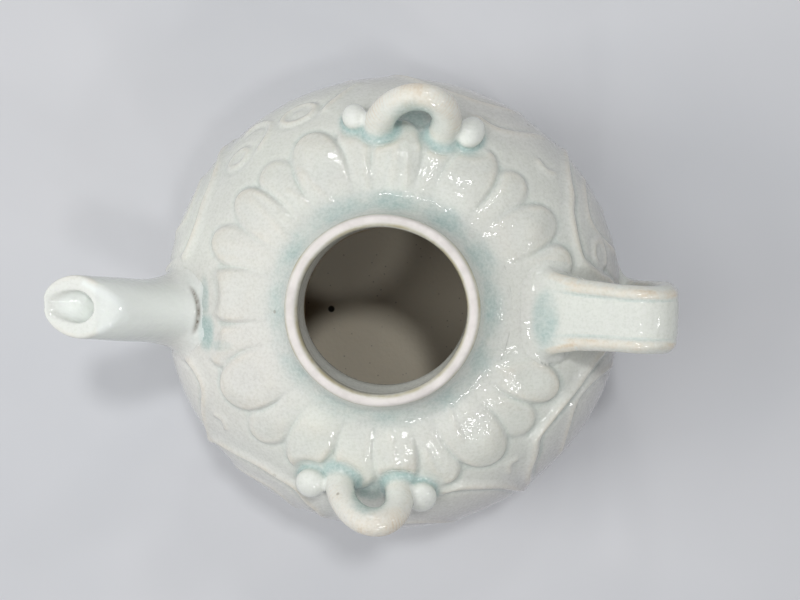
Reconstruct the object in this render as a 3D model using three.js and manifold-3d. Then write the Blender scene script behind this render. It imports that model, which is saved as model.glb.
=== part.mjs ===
// A small porcelain wine ewer, seen without a lid: a round moulded body with a collar of lotus
// petals, a short neck, a curved spout, a strap handle and two cord loops with clay pellets.
// Lengths are millimetres and angles are degrees. The origin is the centre of the flat base,
// +Z is up, +X is the handle's side, -X the spout's side and +Y the back.

import * as THREE from "three";
import { mergeVertices } from "three/addons/utils/BufferGeometryUtils.js";
import Module from "manifold-3d";

// Body
const bellyRadius = 55.4;
const bellyHeight = 38;
const shoulderRise = 36.2;
const fullness = 2.3;
const footRadius = 31;
const footBevel = 0.8;
const wallThickness = 3.2;
const floorThickness = 4;

// Neck
const neckFootRadius = 23.57;
const neckBoreRadius = 17.9;
const neckWall = 2.5;
const neckRise = 8.1;
const rimBead = 0.4;

// Petal collar. Azimuths count from +X towards +Y, elevations from the belly's centre.
const frontPetalAzimuths = [3, 29.7, 57.9, 86, 114.8, 143.3, 174.6, 209, 240.5, 273.8, 304, 333];
const backPetalAzimuths = [15.2, 44.5, 73, 100.5, 130.2, 158.2, 193.6, 225, 258.7, 288.5, 319, 348];
const petalBaseGap = 0.75;
const petalTipElevation = 31.2;
const petalValleyElevation = 36.8;
const petalWidthShare = 0.69;
const petalHeight = 1.25;
const backPetalDrop = 0.4;
const petalGroove = 0.75;
const petalEdgeSlope = 1.4;
const petalValleyDip = 0.08;
const petalBrowDrop = 0.12;
const petalCrownDip = 0.06;

// Spout
const spoutAzimuth = 181.3;
const spoutRootElevation = 19.5;
const spoutOverhang = 8;
const spoutLean = -2.6;
const spoutRootDepth = 5;
const spoutRootTilt = 40;
const spoutTipTilt = 43;
const spoutRadius = 7.2;
const spoutTipRadius = 5.85;
const spoutFlare = 3.9;
const spoutFlareRun = 0.17;
const spoutBoreRadius = 4.1;
const spoutTipBoreRadius = 3.5;

// Handle
const handleAzimuth = 358.4;
const handleUpperElevation = 38.5;
const handleLowerDrop = 5.5;
const handleStandoff = 5.5;
const handleCrownDrop = 2.8;
const handleShoulderInset = 1.5;
const handleWidth = 14.8;
const handleThickness = 5.2;
const handleGrooveDepth = 0.7;
const handleGrooveRun = 0.7;
const handlePanelShare = 0.5;
const handleFlare = 2;
const handleFlareRun = 0.12;

// Cord loops
const loopElevation = 34.6;
const loopTilt = 54.5;
const loopRise = 10.8;
const coilRadius = 3.05;
const backLoopHalfSpan = 7.3;
const backLoopLean = -2.1;
const frontLoopHalfSpan = 6.8;
const frontLoopLean = 1.8;
const loops = [
  { name: "back", azimuth: 82.3, halfSpan: backLoopHalfSpan, lean: backLoopLean },
  { name: "front", azimuth: 264.2, halfSpan: frontLoopHalfSpan, lean: frontLoopLean },
];

// Pellets: width round the body, length down the shoulder and height off it
const pelletElevation = 31.5;
const pelletSunkShare = 0.225;
const pellets = [
  { name: "back_left", azimuth: 99.6, width: 5.4, length: 6.2, height: 4.9, loop: 0 },
  { name: "back_right", azimuth: 64.4, width: 6.2, length: 8.2, height: 5.1, loop: 0 },
  { name: "front_left", azimuth: 246.4, width: 7, length: 7.4, height: 5.4, loop: 1 },
  { name: "front_right", azimuth: 280, width: 7.1, length: 7.8, height: 5.4, loop: 1 },
];

// Clearances
const seatGap = 0.3;
const reliefMargin = 1.6;
const reliefFade = 3;

// Facets
const halfPetalColumns = 5;
const collarRows = 8;
const plainRows = 4;
const innerRows = 5;
const revolveSegments = 96;
const neckSegments = 60;

const wasm = await Module();
wasm.setup();

const degrees = THREE.MathUtils.degToRad;
const lerp = THREE.MathUtils.lerp;
const smoothstep = THREE.MathUtils.smoothstep;

// Solids

function weld(geometry) {
  const bare = geometry.clone();
  bare.deleteAttribute("normal");
  bare.deleteAttribute("uv");
  const merged = mergeVertices(bare, 1e-4);
  const kept = [];
  const index = merged.index.array;
  for (let i = 0; i < index.length; i += 3) {
    const [a, b, c] = [index[i], index[i + 1], index[i + 2]];
    if (a !== b && b !== c && c !== a) kept.push(a, b, c);
  }
  merged.setIndex(kept);
  return merged;
}

function toSolid(geometry) {
  const welded = weld(geometry);
  const mesh = new wasm.Mesh({
    numProp: 3,
    vertProperties: Float32Array.from(welded.attributes.position.array),
    triVerts: Uint32Array.from(welded.index.array),
  });
  return new wasm.Manifold(mesh);
}

function toGeometry(solid) {
  const mesh = solid.getMesh();
  const geometry = new THREE.BufferGeometry();
  geometry.setAttribute("position", new THREE.BufferAttribute(mesh.vertProperties, 3));
  geometry.setIndex(new THREE.BufferAttribute(mesh.triVerts, 1));
  const facets = geometry.toNonIndexed();
  facets.computeVertexNormals();
  return facets;
}

// A skin over rings of points. Rings run counterclockwise seen from the way they advance, and
// the skin closes either with a cap on each end or by joining the last ring to the first.
function skin(rings, joined) {
  const sides = rings[0].length;
  const positions = rings.flat().flatMap((point) => [point.x, point.y, point.z]);
  const index = [];
  const bands = joined ? rings.length : rings.length - 1;
  for (let i = 0; i < bands; i += 1) {
    const low = i * sides;
    const high = ((i + 1) % rings.length) * sides;
    for (let j = 0; j < sides; j += 1) {
      const next = (j + 1) % sides;
      index.push(low + j, low + next, high + next);
      index.push(low + j, high + next, high + j);
    }
  }
  if (!joined) {
    const last = (rings.length - 1) * sides;
    for (let j = 1; j < sides - 1; j += 1) {
      index.push(0, j + 1, j);
      index.push(last, last + j, last + j + 1);
    }
  }
  const geometry = new THREE.BufferGeometry();
  geometry.setAttribute("position", new THREE.Float32BufferAttribute(positions, 3));
  geometry.setIndex(index);
  return geometry;
}

function revolve(profile, segments) {
  const geometry = new THREE.LatheGeometry(profile, segments);
  geometry.rotateX(Math.PI / 2);
  return geometry;
}

// Body profile: a superellipse above and below the belly, seen in the r-z plane

const lowerDepth = bellyHeight / (1 - (footRadius / bellyRadius) ** fullness) ** (1 / fullness);

function bodyPoint(elevation) {
  const angle = degrees(elevation);
  const depth = elevation < 0 ? lowerDepth : shoulderRise;
  const across = Math.abs(Math.cos(angle)) / bellyRadius;
  const along = Math.abs(Math.sin(angle)) / depth;
  const distance = (across ** fullness + along ** fullness) ** (-1 / fullness);
  return new THREE.Vector2(distance * Math.cos(angle), bellyHeight + distance * Math.sin(angle));
}

function bodyNormal(elevation) {
  const point = bodyPoint(elevation);
  const rise = point.y - bellyHeight;
  const depth = rise < 0 ? lowerDepth : shoulderRise;
  const across = point.x ** (fullness - 1) / bellyRadius ** fullness;
  const along = (Math.sign(rise) * Math.abs(rise) ** (fullness - 1)) / depth ** fullness;
  return new THREE.Vector2(across, along).normalize();
}

function offBody(elevation, distance) {
  return bodyPoint(elevation).addScaledVector(bodyNormal(elevation), distance);
}

function elevationAtHeight(height, offset) {
  let low = height < bellyHeight ? -89 : 0;
  let high = height < bellyHeight ? 0 : 89;
  for (let step = 0; step < 40; step += 1) {
    const middle = (low + high) / 2;
    if (offBody(middle, offset).y < height) low = middle;
    else high = middle;
  }
  return (low + high) / 2;
}

function elevationAtRadius(radius, offset) {
  let low = 0;
  let high = 89;
  for (let step = 0; step < 40; step += 1) {
    const middle = (low + high) / 2;
    if (offBody(middle, offset).x > radius) low = middle;
    else high = middle;
  }
  return (low + high) / 2;
}

function evenly(from, to, count, make) {
  return Array.from({ length: count + 1 }, (_, i) => make(lerp(from, to, i / count)));
}

function around(azimuth, radius, height) {
  const angle = degrees(azimuth);
  return new THREE.Vector3(radius * Math.cos(angle), radius * Math.sin(angle), height);
}

// The body's outer shape grown by the seat gap, which every luted piece is cut by
function bodyEnvelope() {
  const foot = elevationAtHeight(0, 0);
  const profile = [
    new THREE.Vector2(0, -seatGap),
    ...evenly(foot, 0, 8, (elevation) => offBody(elevation, seatGap)),
    ...evenly(3, 80, 26, (elevation) => offBody(elevation, seatGap)),
  ];
  profile.push(new THREE.Vector2(0, offBody(80, seatGap).y));
  return toSolid(revolve(profile, revolveSegments));
}

// Relief: where the luted pieces sit, the potter's slip smooths the petals away

function reliefKept(azimuth, elevation, seats) {
  const here = bodyPoint(elevation);
  const point = around(azimuth, here.x, here.y);
  let kept = 1;
  for (const seat of seats) {
    const clear = point.distanceTo(seat.centre) - seat.radius - reliefMargin;
    kept = Math.min(kept, smoothstep(clear, 0, reliefFade));
  }
  return kept;
}

function seatOnBody(azimuth, elevation, side, radius) {
  const point = bodyPoint(elevation);
  const centre = around(azimuth, point.x, point.y);
  centre.addScaledVector(around(azimuth + 90, 1, 0), side);
  return { centre, radius };
}

const seatEdge = bodyPoint(elevationAtRadius(neckFootRadius, 0));
const rimHeight = seatEdge.y + neckRise;
const petalBaseElevation = elevationAtRadius(neckFootRadius + petalBaseGap, 0);
const spoutReach = bellyRadius + spoutOverhang;
const handleReach = bellyRadius + handleStandoff;
const handleCrownHeight = rimHeight - handleCrownDrop;
const handleLowerElevation = elevationAtHeight(bellyHeight - handleLowerDrop, 0);

const seats = [
  seatOnBody(spoutAzimuth, spoutRootElevation, 0, spoutRadius + spoutFlare),
  seatOnBody(handleAzimuth, handleUpperElevation, 0, handleWidth / 2 + handleFlare),
  ...loops.flatMap((loop) => [
    seatOnBody(loop.azimuth, loopElevation, loop.halfSpan, coilRadius),
    seatOnBody(loop.azimuth, loopElevation, -loop.halfSpan, coilRadius),
  ]),
  ...pellets.map((pellet) =>
    seatOnBody(pellet.azimuth, pelletElevation, 0, Math.max(pellet.width, pellet.length) / 2),
  ),
];

// Petal collar: twelve front petals with a back petal's tip between each two. The mesh columns
// follow the front petals' sides and its rows follow the scalloped edge of their tips.

function frontPetalHalfWidth(along, halfSector) {
  const swell = 0.91 + 0.32 * along - 0.49 * along * along;
  return halfSector * petalWidthShare * swell;
}

function collarColumn(column, along, halfSector) {
  const side = frontPetalHalfWidth(along, halfSector);
  const slope = Math.min(petalEdgeSlope, side / 4);
  const offsets = [halfSector, (halfSector + side) / 2, side, side - slope, side * 0.45, 0];
  const heights = [
    petalHeight - backPetalDrop,
    petalHeight - backPetalDrop - petalValleyDip,
    petalHeight - petalGroove,
    petalHeight - petalBrowDrop,
    petalHeight,
    petalHeight - petalCrownDip,
  ];
  const rim = [0.96, 0.6, 0, 0.1, 0.82, 1];
  const edge = lerp(petalValleyElevation, petalTipElevation, rim[column]);
  return { offset: offsets[column], height: heights[column], edge };
}

function collarRow(along, lift, edgeShift) {
  const ring = [];
  frontPetalAzimuths.forEach((front, k) => {
    const count = frontPetalAzimuths.length;
    const before = backPetalAzimuths[(k + count - 1) % count];
    const after = backPetalAzimuths[k];
    const leftHalf = (front - before + 360) % 360;
    const rightHalf = (after - front + 360) % 360;
    for (let column = 0; column < halfPetalColumns; column += 1) {
      ring.push(collarPoint(front, -leftHalf, column, along, lift, edgeShift));
    }
    for (let column = halfPetalColumns; column > 0; column -= 1) {
      ring.push(collarPoint(front, rightHalf, column, along, lift, edgeShift));
    }
  });
  return ring;
}

function collarPoint(front, sector, column, along, lift, edgeShift) {
  const detail = collarColumn(column, Math.min(along, 1), Math.abs(sector));
  const azimuth = front + Math.sign(sector) * detail.offset;
  const elevation = lerp(petalBaseElevation, detail.edge, Math.min(along, 1)) - edgeShift;
  const height = lift * detail.height * reliefKept(azimuth, elevation, seats);
  const point = offBody(elevation, height);
  return around(azimuth, point.x, point.y);
}

function plainRing(template, radius, height) {
  return template.map((point) => around((Math.atan2(point.y, point.x) * 180) / Math.PI, radius, height));
}

function upperBody(spoutBore) {
  const foot = collarRow(1, 0, petalEdgeSlope * 0.75);
  const seam = bodyPoint(0);
  const rings = [plainRing(foot, seam.x, seam.y)];
  for (let i = 1; i < plainRows; i += 1) {
    rings.push(foot.map((point) => sinkTowards(point, i / plainRows)));
  }
  rings.push(foot);
  for (let i = collarRows; i >= 0; i -= 1) {
    const along = i / collarRows;
    rings.push(collarRow(along, smoothstep(along, -0.05, 0.3), 0));
  }
  rings.push(plainRing(foot, seatEdge.x, seatEdge.y));
  rings.push(plainRing(foot, neckBoreRadius, seatEdge.y));
  const ceiling = elevationAtRadius(neckBoreRadius, -wallThickness);
  for (const point of evenly(ceiling, 0, innerRows, (elevation) => offBody(elevation, -wallThickness))) {
    rings.push(plainRing(foot, point.x, point.y));
  }
  return toGeometry(toSolid(skin(rings, true)).subtract(spoutBore));
}

// A point between the belly seam and the given point, on the body's own curve
function sinkTowards(point, share) {
  const azimuth = (Math.atan2(point.y, point.x) * 180) / Math.PI;
  const elevation = (Math.atan2(point.z - bellyHeight, Math.hypot(point.x, point.y)) * 180) / Math.PI;
  const lower = bodyPoint(elevation * share);
  return around(azimuth, lower.x, lower.y);
}

function lowerBody() {
  const foot = elevationAtHeight(footBevel, 0);
  const floor = elevationAtHeight(floorThickness, -wallThickness);
  const profile = [
    new THREE.Vector2(0, 0),
    new THREE.Vector2(footRadius - footBevel, 0),
    ...evenly(foot, 0, 6, bodyPoint),
    ...evenly(0, floor, 4, (elevation) => offBody(elevation, -wallThickness)),
    new THREE.Vector2(0, floorThickness),
  ];
  return revolve(profile, halfPetalColumns * 2 * frontPetalAzimuths.length);
}

function neckRing() {
  const outer = neckBoreRadius + neckWall;
  const flareTop = seatEdge.y + neckRise * 0.45;
  const profile = [new THREE.Vector2(neckBoreRadius, seatEdge.y)];
  for (let i = 0; i <= 4; i += 1) {
    const share = i / 4;
    const flare = (seatEdge.x - outer) * (1 - share) ** 2.2;
    profile.push(new THREE.Vector2(outer + flare, lerp(seatEdge.y, flareTop, share)));
  }
  const lip = new THREE.Shape();
  const lipRadius = (neckWall + rimBead) / 2;
  const middle = neckBoreRadius + neckWall / 2 + rimBead / 2;
  const flat = lipRadius * 0.45;
  lip.moveTo(middle + lipRadius, rimHeight - lipRadius * 1.1);
  lip.bezierCurveTo(
    middle + lipRadius, rimHeight - lipRadius * 0.3,
    middle + lipRadius * 0.8, rimHeight,
    middle + flat, rimHeight,
  );
  lip.lineTo(middle - flat, rimHeight);
  lip.bezierCurveTo(
    middle - lipRadius * 0.8, rimHeight,
    neckBoreRadius, rimHeight - lipRadius * 0.3,
    neckBoreRadius, rimHeight - lipRadius * 1.1,
  );
  profile.push(new THREE.Vector2(outer, rimHeight - lipRadius * 2));
  profile.push(...lip.getPoints(3).map((point) => new THREE.Vector2(point.x, point.y)));
  profile.push(profile[0].clone());
  return revolve(profile, neckSegments);
}

// Swept pieces, made in the plane of the azimuth 0 and turned to their places afterwards

function inPlane(radius, height) {
  return new THREE.Vector3(radius, 0, height);
}

function tilted(angle) {
  return new THREE.Vector3(Math.cos(degrees(angle)), 0, Math.sin(degrees(angle)));
}

// Rings across a path that stays near the plane y = 0; section gives each ring's points as
// (out of the curve, sideways) for the share of the way along
function sweep(path, steps, section) {
  const rings = [];
  for (let i = 0; i <= steps; i += 1) {
    const share = i / steps;
    const centre = path.getPointAt(share);
    const tangent = path.getTangentAt(share);
    const side = new THREE.Vector3(0, 1, 0).addScaledVector(tangent, -tangent.y).normalize();
    const out = new THREE.Vector3().crossVectors(side, tangent);
    rings.push(
      section(share).map((point) =>
        centre.clone().addScaledVector(out, point.x).addScaledVector(side, point.y),
      ),
    );
  }
  return skin(rings, false);
}

function circleSection(radius, sides) {
  return Array.from({ length: sides }, (_, i) => {
    const angle = (2 * Math.PI * i) / sides;
    return new THREE.Vector2(radius * Math.cos(angle), radius * Math.sin(angle));
  });
}

const spoutRoot = bodyPoint(spoutRootElevation);
const spoutMouth = new THREE.Vector3(spoutReach, spoutLean, rimHeight);
const spoutRun = spoutMouth.distanceTo(inPlane(spoutRoot.x, spoutRoot.y)) * 0.3;
const spoutSink = wallThickness + spoutRootDepth;
const spoutOverrun = spoutTipRadius * 2.2;

function spoutPath() {
  const root = inPlane(spoutRoot.x, spoutRoot.y);
  const path = new THREE.CurvePath();
  path.add(new THREE.LineCurve3(root.clone().addScaledVector(tilted(spoutRootTilt), -spoutSink), root));
  path.add(
    new THREE.CubicBezierCurve3(
      root,
      root.clone().addScaledVector(tilted(spoutRootTilt), spoutRun),
      spoutMouth.clone().addScaledVector(tilted(spoutTipTilt), -spoutRun),
      spoutMouth,
    ),
  );
  path.add(
    new THREE.LineCurve3(
      spoutMouth,
      spoutMouth.clone().addScaledVector(tilted(spoutTipTilt), spoutOverrun),
    ),
  );
  return path;
}

function spoutShares(path) {
  const total = path.getLength();
  return { root: spoutSink / total, mouth: 1 - spoutOverrun / total };
}

function spoutOuter() {
  const path = spoutPath();
  const { root, mouth } = spoutShares(path);
  return sweep(path, 24, (share) => {
    const along = (share - root) / (mouth - root);
    const taper = lerp(spoutRadius, spoutTipRadius, smoothstep(along, 0.45, 0.85));
    const flare = spoutFlare * Math.exp(-((Math.max(along, 0) / spoutFlareRun) ** 1.4));
    return circleSection(taper + flare, 22);
  });
}

function spoutBore() {
  const path = spoutPath();
  return sweep(path, 20, (share) =>
    circleSection(lerp(spoutBoreRadius, spoutTipBoreRadius, smoothstep(share, 0.6, 0.85)), 18),
  );
}

function spout(envelope) {
  const tall = spoutReach;
  const above = new THREE.BoxGeometry(tall, tall, tall);
  above.translate(spoutReach, 0, rimHeight + tall / 2);
  return toSolid(spoutOuter()).subtract(toSolid(spoutBore())).subtract(toSolid(above)).subtract(envelope);
}

function handlePath() {
  const upper = bodyPoint(handleUpperElevation);
  const lower = bodyPoint(handleLowerElevation);
  const sink = handleThickness;
  return new THREE.CatmullRomCurve3(
    [
      inPlane(upper.x - sink * 0.8, upper.y - sink * 1.1),
      inPlane(upper.x, upper.y),
      inPlane(lerp(upper.x, handleReach, 0.4), lerp(upper.y, handleCrownHeight, 0.72)),
      inPlane(lerp(upper.x, handleReach, 0.72), handleCrownHeight),
      inPlane(handleReach - handleShoulderInset, lerp(upper.y, handleCrownHeight, 0.75)),
      inPlane(handleReach, lerp(lower.y, handleCrownHeight, 0.72)),
      inPlane(lerp(lower.x, handleReach, 0.72), lerp(lower.y, handleCrownHeight, 0.4)),
      inPlane(lower.x, lower.y),
      inPlane(lower.x - sink * 0.9, lower.y - sink * 1.6),
    ],
    false,
    "centripetal",
  );
}

// A strap with two raised edges and a sunk panel on its outer face
function strapSection(width, thickness) {
  const half = width / 2;
  const panel = half * handlePanelShare;
  const outer = thickness / 2;
  return [
    [-outer, -half * 0.8],
    [-outer * 0.55, -half * 0.96],
    [0, -half],
    [outer * 0.62, -half * 0.94],
    [outer, -half * 0.78],
    [outer * 0.92, -panel - handleGrooveRun],
    [outer - handleGrooveDepth, -panel],
    [outer - handleGrooveDepth * 0.62, -panel * 0.6],
    [outer - handleGrooveDepth * 0.5, 0],
    [outer - handleGrooveDepth * 0.62, panel * 0.6],
    [outer - handleGrooveDepth, panel],
    [outer * 0.92, panel + handleGrooveRun],
    [outer, half * 0.78],
    [outer * 0.62, half * 0.94],
    [0, half],
    [-outer * 0.55, half * 0.96],
    [-outer, half * 0.8],
    [-outer * 1.04, 0],
  ].map(([out, side]) => new THREE.Vector2(out, side));
}

function handle(envelope) {
  const strap = sweep(handlePath(), 32, (share) => {
    const root = Math.exp(-((Math.min(share, 1 - share) / handleFlareRun) ** 2));
    const width = handleWidth + 2 * handleFlare * root;
    const thickness = handleThickness * (1 + 0.25 * root);
    return strapSection(width, thickness);
  });
  return toSolid(strap).subtract(envelope);
}

function loopCoil(loop, growth) {
  const foot = bodyPoint(loopElevation);
  const base = inPlane(foot.x, foot.y);
  const up = tilted(loopTilt);
  const across = new THREE.Vector3(0, 1, 0);
  const place = (side, rise) => base.clone().addScaledVector(across, side).addScaledVector(up, rise);
  const points = [place(-loop.halfSpan, -4 * coilRadius)];
  for (let angle = 0; angle <= 180; angle += 22.5) {
    const side = -Math.cos(degrees(angle)) * loop.halfSpan;
    const rise = Math.sin(degrees(angle)) ** 0.85 * loopRise;
    points.push(place(side + (loop.lean * rise) / loopRise, rise));
  }
  points.push(place(loop.halfSpan, -4 * coilRadius));
  const section = new THREE.Shape(circleSection(coilRadius + growth, 12));
  const geometry = new THREE.ExtrudeGeometry(section, {
    steps: 30,
    bevelEnabled: false,
    extrudePath: new THREE.CatmullRomCurve3(points, false, "centripetal"),
  });
  geometry.rotateZ(degrees(loop.azimuth));
  return toSolid(geometry);
}

function pelletBall(pellet) {
  const point = offBody(pelletElevation, pellet.height * (0.5 - pelletSunkShare));
  const normal = bodyNormal(pelletElevation);
  const lean = Math.atan2(normal.x, normal.y);
  const geometry = new THREE.SphereGeometry(0.5, 14, 7);
  geometry.scale(pellet.length, pellet.width, pellet.height);
  geometry.rotateY(lean);
  geometry.translate(point.x, 0, point.y);
  geometry.rotateZ(degrees(pellet.azimuth));
  return toSolid(geometry);
}

// Glazed porcelain and its two bare places

function porcelain(color, roughness) {
  return new THREE.MeshStandardMaterial({ color, roughness, metalness: 0 });
}

const glaze = porcelain(0xd6ddd5, 0.22);
const rimGlaze = porcelain(0xe2d9cf, 0.5);
const creamGlaze = porcelain(0xdcdacb, 0.26);

const ewer = new THREE.Group();

function addPiece(name, geometry, material, azimuth = 0) {
  const mesh = new THREE.Mesh(geometry, material);
  mesh.name = name;
  mesh.rotation.z = degrees(azimuth);
  ewer.add(mesh);
}

const envelope = bodyEnvelope();
const wallHole = spoutBore();
wallHole.rotateZ(degrees(spoutAzimuth));

addPiece("lower_body", lowerBody(), glaze);
addPiece("upper_body", upperBody(toSolid(wallHole)), glaze);
addPiece("neck_ring", neckRing(), rimGlaze);
addPiece("spout", toGeometry(spout(envelope)), creamGlaze, spoutAzimuth);
addPiece("handle", toGeometry(handle(envelope)), creamGlaze, handleAzimuth);
for (const loop of loops) {
  addPiece(`${loop.name}_cord_loop`, toGeometry(loopCoil(loop, 0).subtract(envelope)), creamGlaze);
}
for (const pellet of pellets) {
  const clear = loopCoil(loops[pellet.loop], seatGap);
  addPiece(`${pellet.name}_pellet`, toGeometry(pelletBall(pellet).subtract(envelope).subtract(clear)), glaze);
}

export default ewer;
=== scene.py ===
import math

import bpy
import numpy as np
from mathutils import Matrix, Vector


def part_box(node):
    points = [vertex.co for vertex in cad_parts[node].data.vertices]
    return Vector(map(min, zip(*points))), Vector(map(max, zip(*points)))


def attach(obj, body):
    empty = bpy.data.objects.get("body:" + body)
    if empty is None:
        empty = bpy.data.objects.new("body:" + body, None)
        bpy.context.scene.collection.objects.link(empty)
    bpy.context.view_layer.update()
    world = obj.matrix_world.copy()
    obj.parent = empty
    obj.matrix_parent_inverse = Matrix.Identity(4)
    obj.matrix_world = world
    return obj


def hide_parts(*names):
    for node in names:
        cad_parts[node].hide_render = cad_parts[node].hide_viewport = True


# The ewer's visible surfaces are made here in millimetres, in the CAD's frame, and each piece
# replaces the CAD node of its name. The body's relief is a map of heights over azimuth and
# elevation. The luted pieces are distance fields that melt into that same body surface, as the
# potter's slip and the glaze do, and are then skinned.

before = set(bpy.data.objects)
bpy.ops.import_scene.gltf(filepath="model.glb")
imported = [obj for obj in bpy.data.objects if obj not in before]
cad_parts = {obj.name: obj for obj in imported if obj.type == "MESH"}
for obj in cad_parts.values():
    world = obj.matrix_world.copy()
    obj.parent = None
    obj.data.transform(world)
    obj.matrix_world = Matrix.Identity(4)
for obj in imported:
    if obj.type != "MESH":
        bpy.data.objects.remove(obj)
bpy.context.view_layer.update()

# Body, as in the CAD
BELLY_RADIUS = 55.4
BELLY_HEIGHT = 38.0
SHOULDER_RISE = 36.2
FULLNESS = 2.3
FOOT_RADIUS = 31.0
FOOT_BEVEL = 0.8
WALL = 3.2
FLOOR = 4.0
NECK_FOOT_RADIUS = 23.57
NECK_BORE = 17.9
NECK_WALL = 2.5
RIM_HEIGHT = 80.0
LOWER_DEPTH = BELLY_HEIGHT / (1 - (FOOT_RADIUS / BELLY_RADIUS) ** FULLNESS) ** (1 / FULLNESS)
OVAL = 0.987  # the real pot is a little narrower from front to back

RNG = np.random.default_rng(7)


# Blends, distance fields and curves


def smoothstep(value, low, high):
    t = np.clip((value - low) / (high - low), 0, 1)
    return t * t * (3 - 2 * t)


def between(a, b, t):
    return a + (b - a) * t


def bell(value, width, power=2):
    """A bump of height 1 where value is 0, which falls away over width."""
    return np.exp(-(np.abs(value / width) ** power))


def melt(a, b, reach):
    """The union of two distance fields with a soft fillet of the given reach between them."""
    h = np.maximum(reach - np.abs(a - b), 0) / reach
    return np.minimum(a, b) - h * h * reach * 0.25


def soft_cut(a, b, reach):
    """What is inside field a and outside field b, with its edge rounded by reach."""
    return -melt(-a, b, reach)


def cosine(degrees):
    return math.cos(math.radians(degrees))


def sine(degrees):
    return math.sin(math.radians(degrees))


def distance_to_line(px, py, points):
    """Distance to a polyline, its side, positive on the left, and the share of the way along it."""
    best = np.full(px.shape, 1e9)
    side = np.zeros(px.shape)
    share = np.zeros(px.shape)
    count = len(points) - 1
    for i, ((ax, ay), (bx, by)) in enumerate(zip(points[:-1], points[1:])):
        dx, dy = bx - ax, by - ay
        t = np.clip(((px - ax) * dx + (py - ay) * dy) / (dx * dx + dy * dy), 0, 1)
        d = np.hypot(px - ax - t * dx, py - ay - t * dy)
        nearer = d < best
        best = np.where(nearer, d, best)
        side = np.where(nearer, np.sign((px - ax) * -dy + (py - ay) * dx), side)
        share = np.where(nearer, (i + t) / count, share)
    return best, side, share


def along_spans(points, count):
    """For count places along a curve: the four points round its span, and the share of the span."""
    pts = np.array(points, float)
    pts = np.vstack([2 * pts[0] - pts[1], pts, 2 * pts[-1] - pts[-2]])
    spans = len(pts) - 3
    for s in np.linspace(0, spans, count):
        i = min(int(s), spans - 1)
        yield pts[i : i + 4], s - i


def smooth_line(points, count):
    """Uniform Catmull-Rom points through the given ones."""
    out = []
    for (a, b, c, d), t in along_spans(points, count):
        cubic = (2 * a - 5 * b + 4 * c - d) * t * t + (3 * b - a - 3 * c + d) * t**3
        out.append(0.5 * (2 * b + (c - a) * t + cubic))
    return np.array(out)


def centripetal(points, count):
    """The CAD's centripetal Catmull-Rom curve through the points."""

    def mixed(a, b, start, end, t):
        return (end - t) / (end - start) * a + (t - start) / (end - start) * b

    out = []
    for p, share in along_spans(points, count):
        gaps = np.sqrt(np.linalg.norm(np.diff(p, axis=0), axis=1))
        knots = np.concatenate([[0], np.cumsum(gaps)])
        t = knots[1] + (knots[2] - knots[1]) * share
        first = [mixed(p[i], p[i + 1], knots[i], knots[i + 1], t) for i in range(3)]
        second = [mixed(first[i], first[i + 1], knots[i], knots[i + 2], t) for i in range(2)]
        out.append(mixed(*second, knots[1], knots[2], t))
    return np.array(out)


def bezier(a, b, c, d, count):
    t = np.linspace(0, 1, count)[:, None]
    return a * (1 - t) ** 3 + 3 * b * t * (1 - t) ** 2 + 3 * c * t * t * (1 - t) + d * t**3


def bilinear(field, row, column):
    """A grid's values at rows and columns with fractions. The columns wrap round."""
    r, c = np.floor(row).astype(int), np.floor(column).astype(int)
    down, across = row - r, column - c
    left, right = c % field.shape[1], (c + 1) % field.shape[1]
    low = field[r, left] * (1 - across) + field[r, right] * across
    high = field[r + 1, left] * (1 - across) + field[r + 1, right] * across
    return low * (1 - down) + high * down


# Body profile


def body_reach(elevation):
    """Distance from the belly's centre to the body's surface, in the direction elevation."""
    angle = np.radians(elevation)
    depth = np.where(elevation < 0, LOWER_DEPTH, SHOULDER_RISE)
    total = (np.abs(np.cos(angle)) / BELLY_RADIUS) ** FULLNESS
    total += (np.abs(np.sin(angle)) / depth) ** FULLNESS
    return total ** (-1 / FULLNESS)


def body_point(elevation, offset=0.0):
    """Radius and height of the body's surface, moved out along its normal by offset."""
    elevation = np.asarray(elevation, float)
    reach = body_reach(elevation)
    r = reach * np.cos(np.radians(elevation))
    rise = reach * np.sin(np.radians(elevation))
    depth = np.where(rise < 0, LOWER_DEPTH, SHOULDER_RISE)
    across = np.abs(r) ** (FULLNESS - 1) / BELLY_RADIUS**FULLNESS
    along = np.sign(rise) * np.abs(rise) ** (FULLNESS - 1) / depth**FULLNESS
    size = np.hypot(across, along)
    return r + offset * across / size, BELLY_HEIGHT + rise + offset * along / size


def elevation_where(test, low, high):
    """The elevation up to which test holds."""
    for _ in range(50):
        middle = (low + high) / 2
        low, high = (middle, high) if test(middle) else (low, middle)
    return (low + high) / 2


SEAT_ELEVATION = elevation_where(lambda e: body_point(e)[0] > NECK_FOOT_RADIUS, 0, 89)
SEAT_HEIGHT = float(body_point(SEAT_ELEVATION)[1])
FOOT_ELEVATION = elevation_where(lambda e: body_point(e)[1] < FOOT_BEVEL, -89, 0)

# Relief map: rows are elevations and columns are azimuths

MAP_STEP = 0.2
MAP_LOW = -56.0
MAP_HIGH = 62.0
BLUR_RADIUS = 45  # the radius at which a map column's width is told in millimetres
map_az = np.arange(0, 360, MAP_STEP)
map_el = np.arange(MAP_LOW, MAP_HIGH + MAP_STEP / 2, MAP_STEP)
map_r, map_z = body_point(map_el)
map_arc = np.concatenate([[0], np.cumsum(np.hypot(np.diff(map_r), np.diff(map_z)))])
relief = np.zeros((len(map_el), len(map_az)))


def arc_at(elevation):
    return np.interp(elevation, map_el, map_arc)


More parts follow.
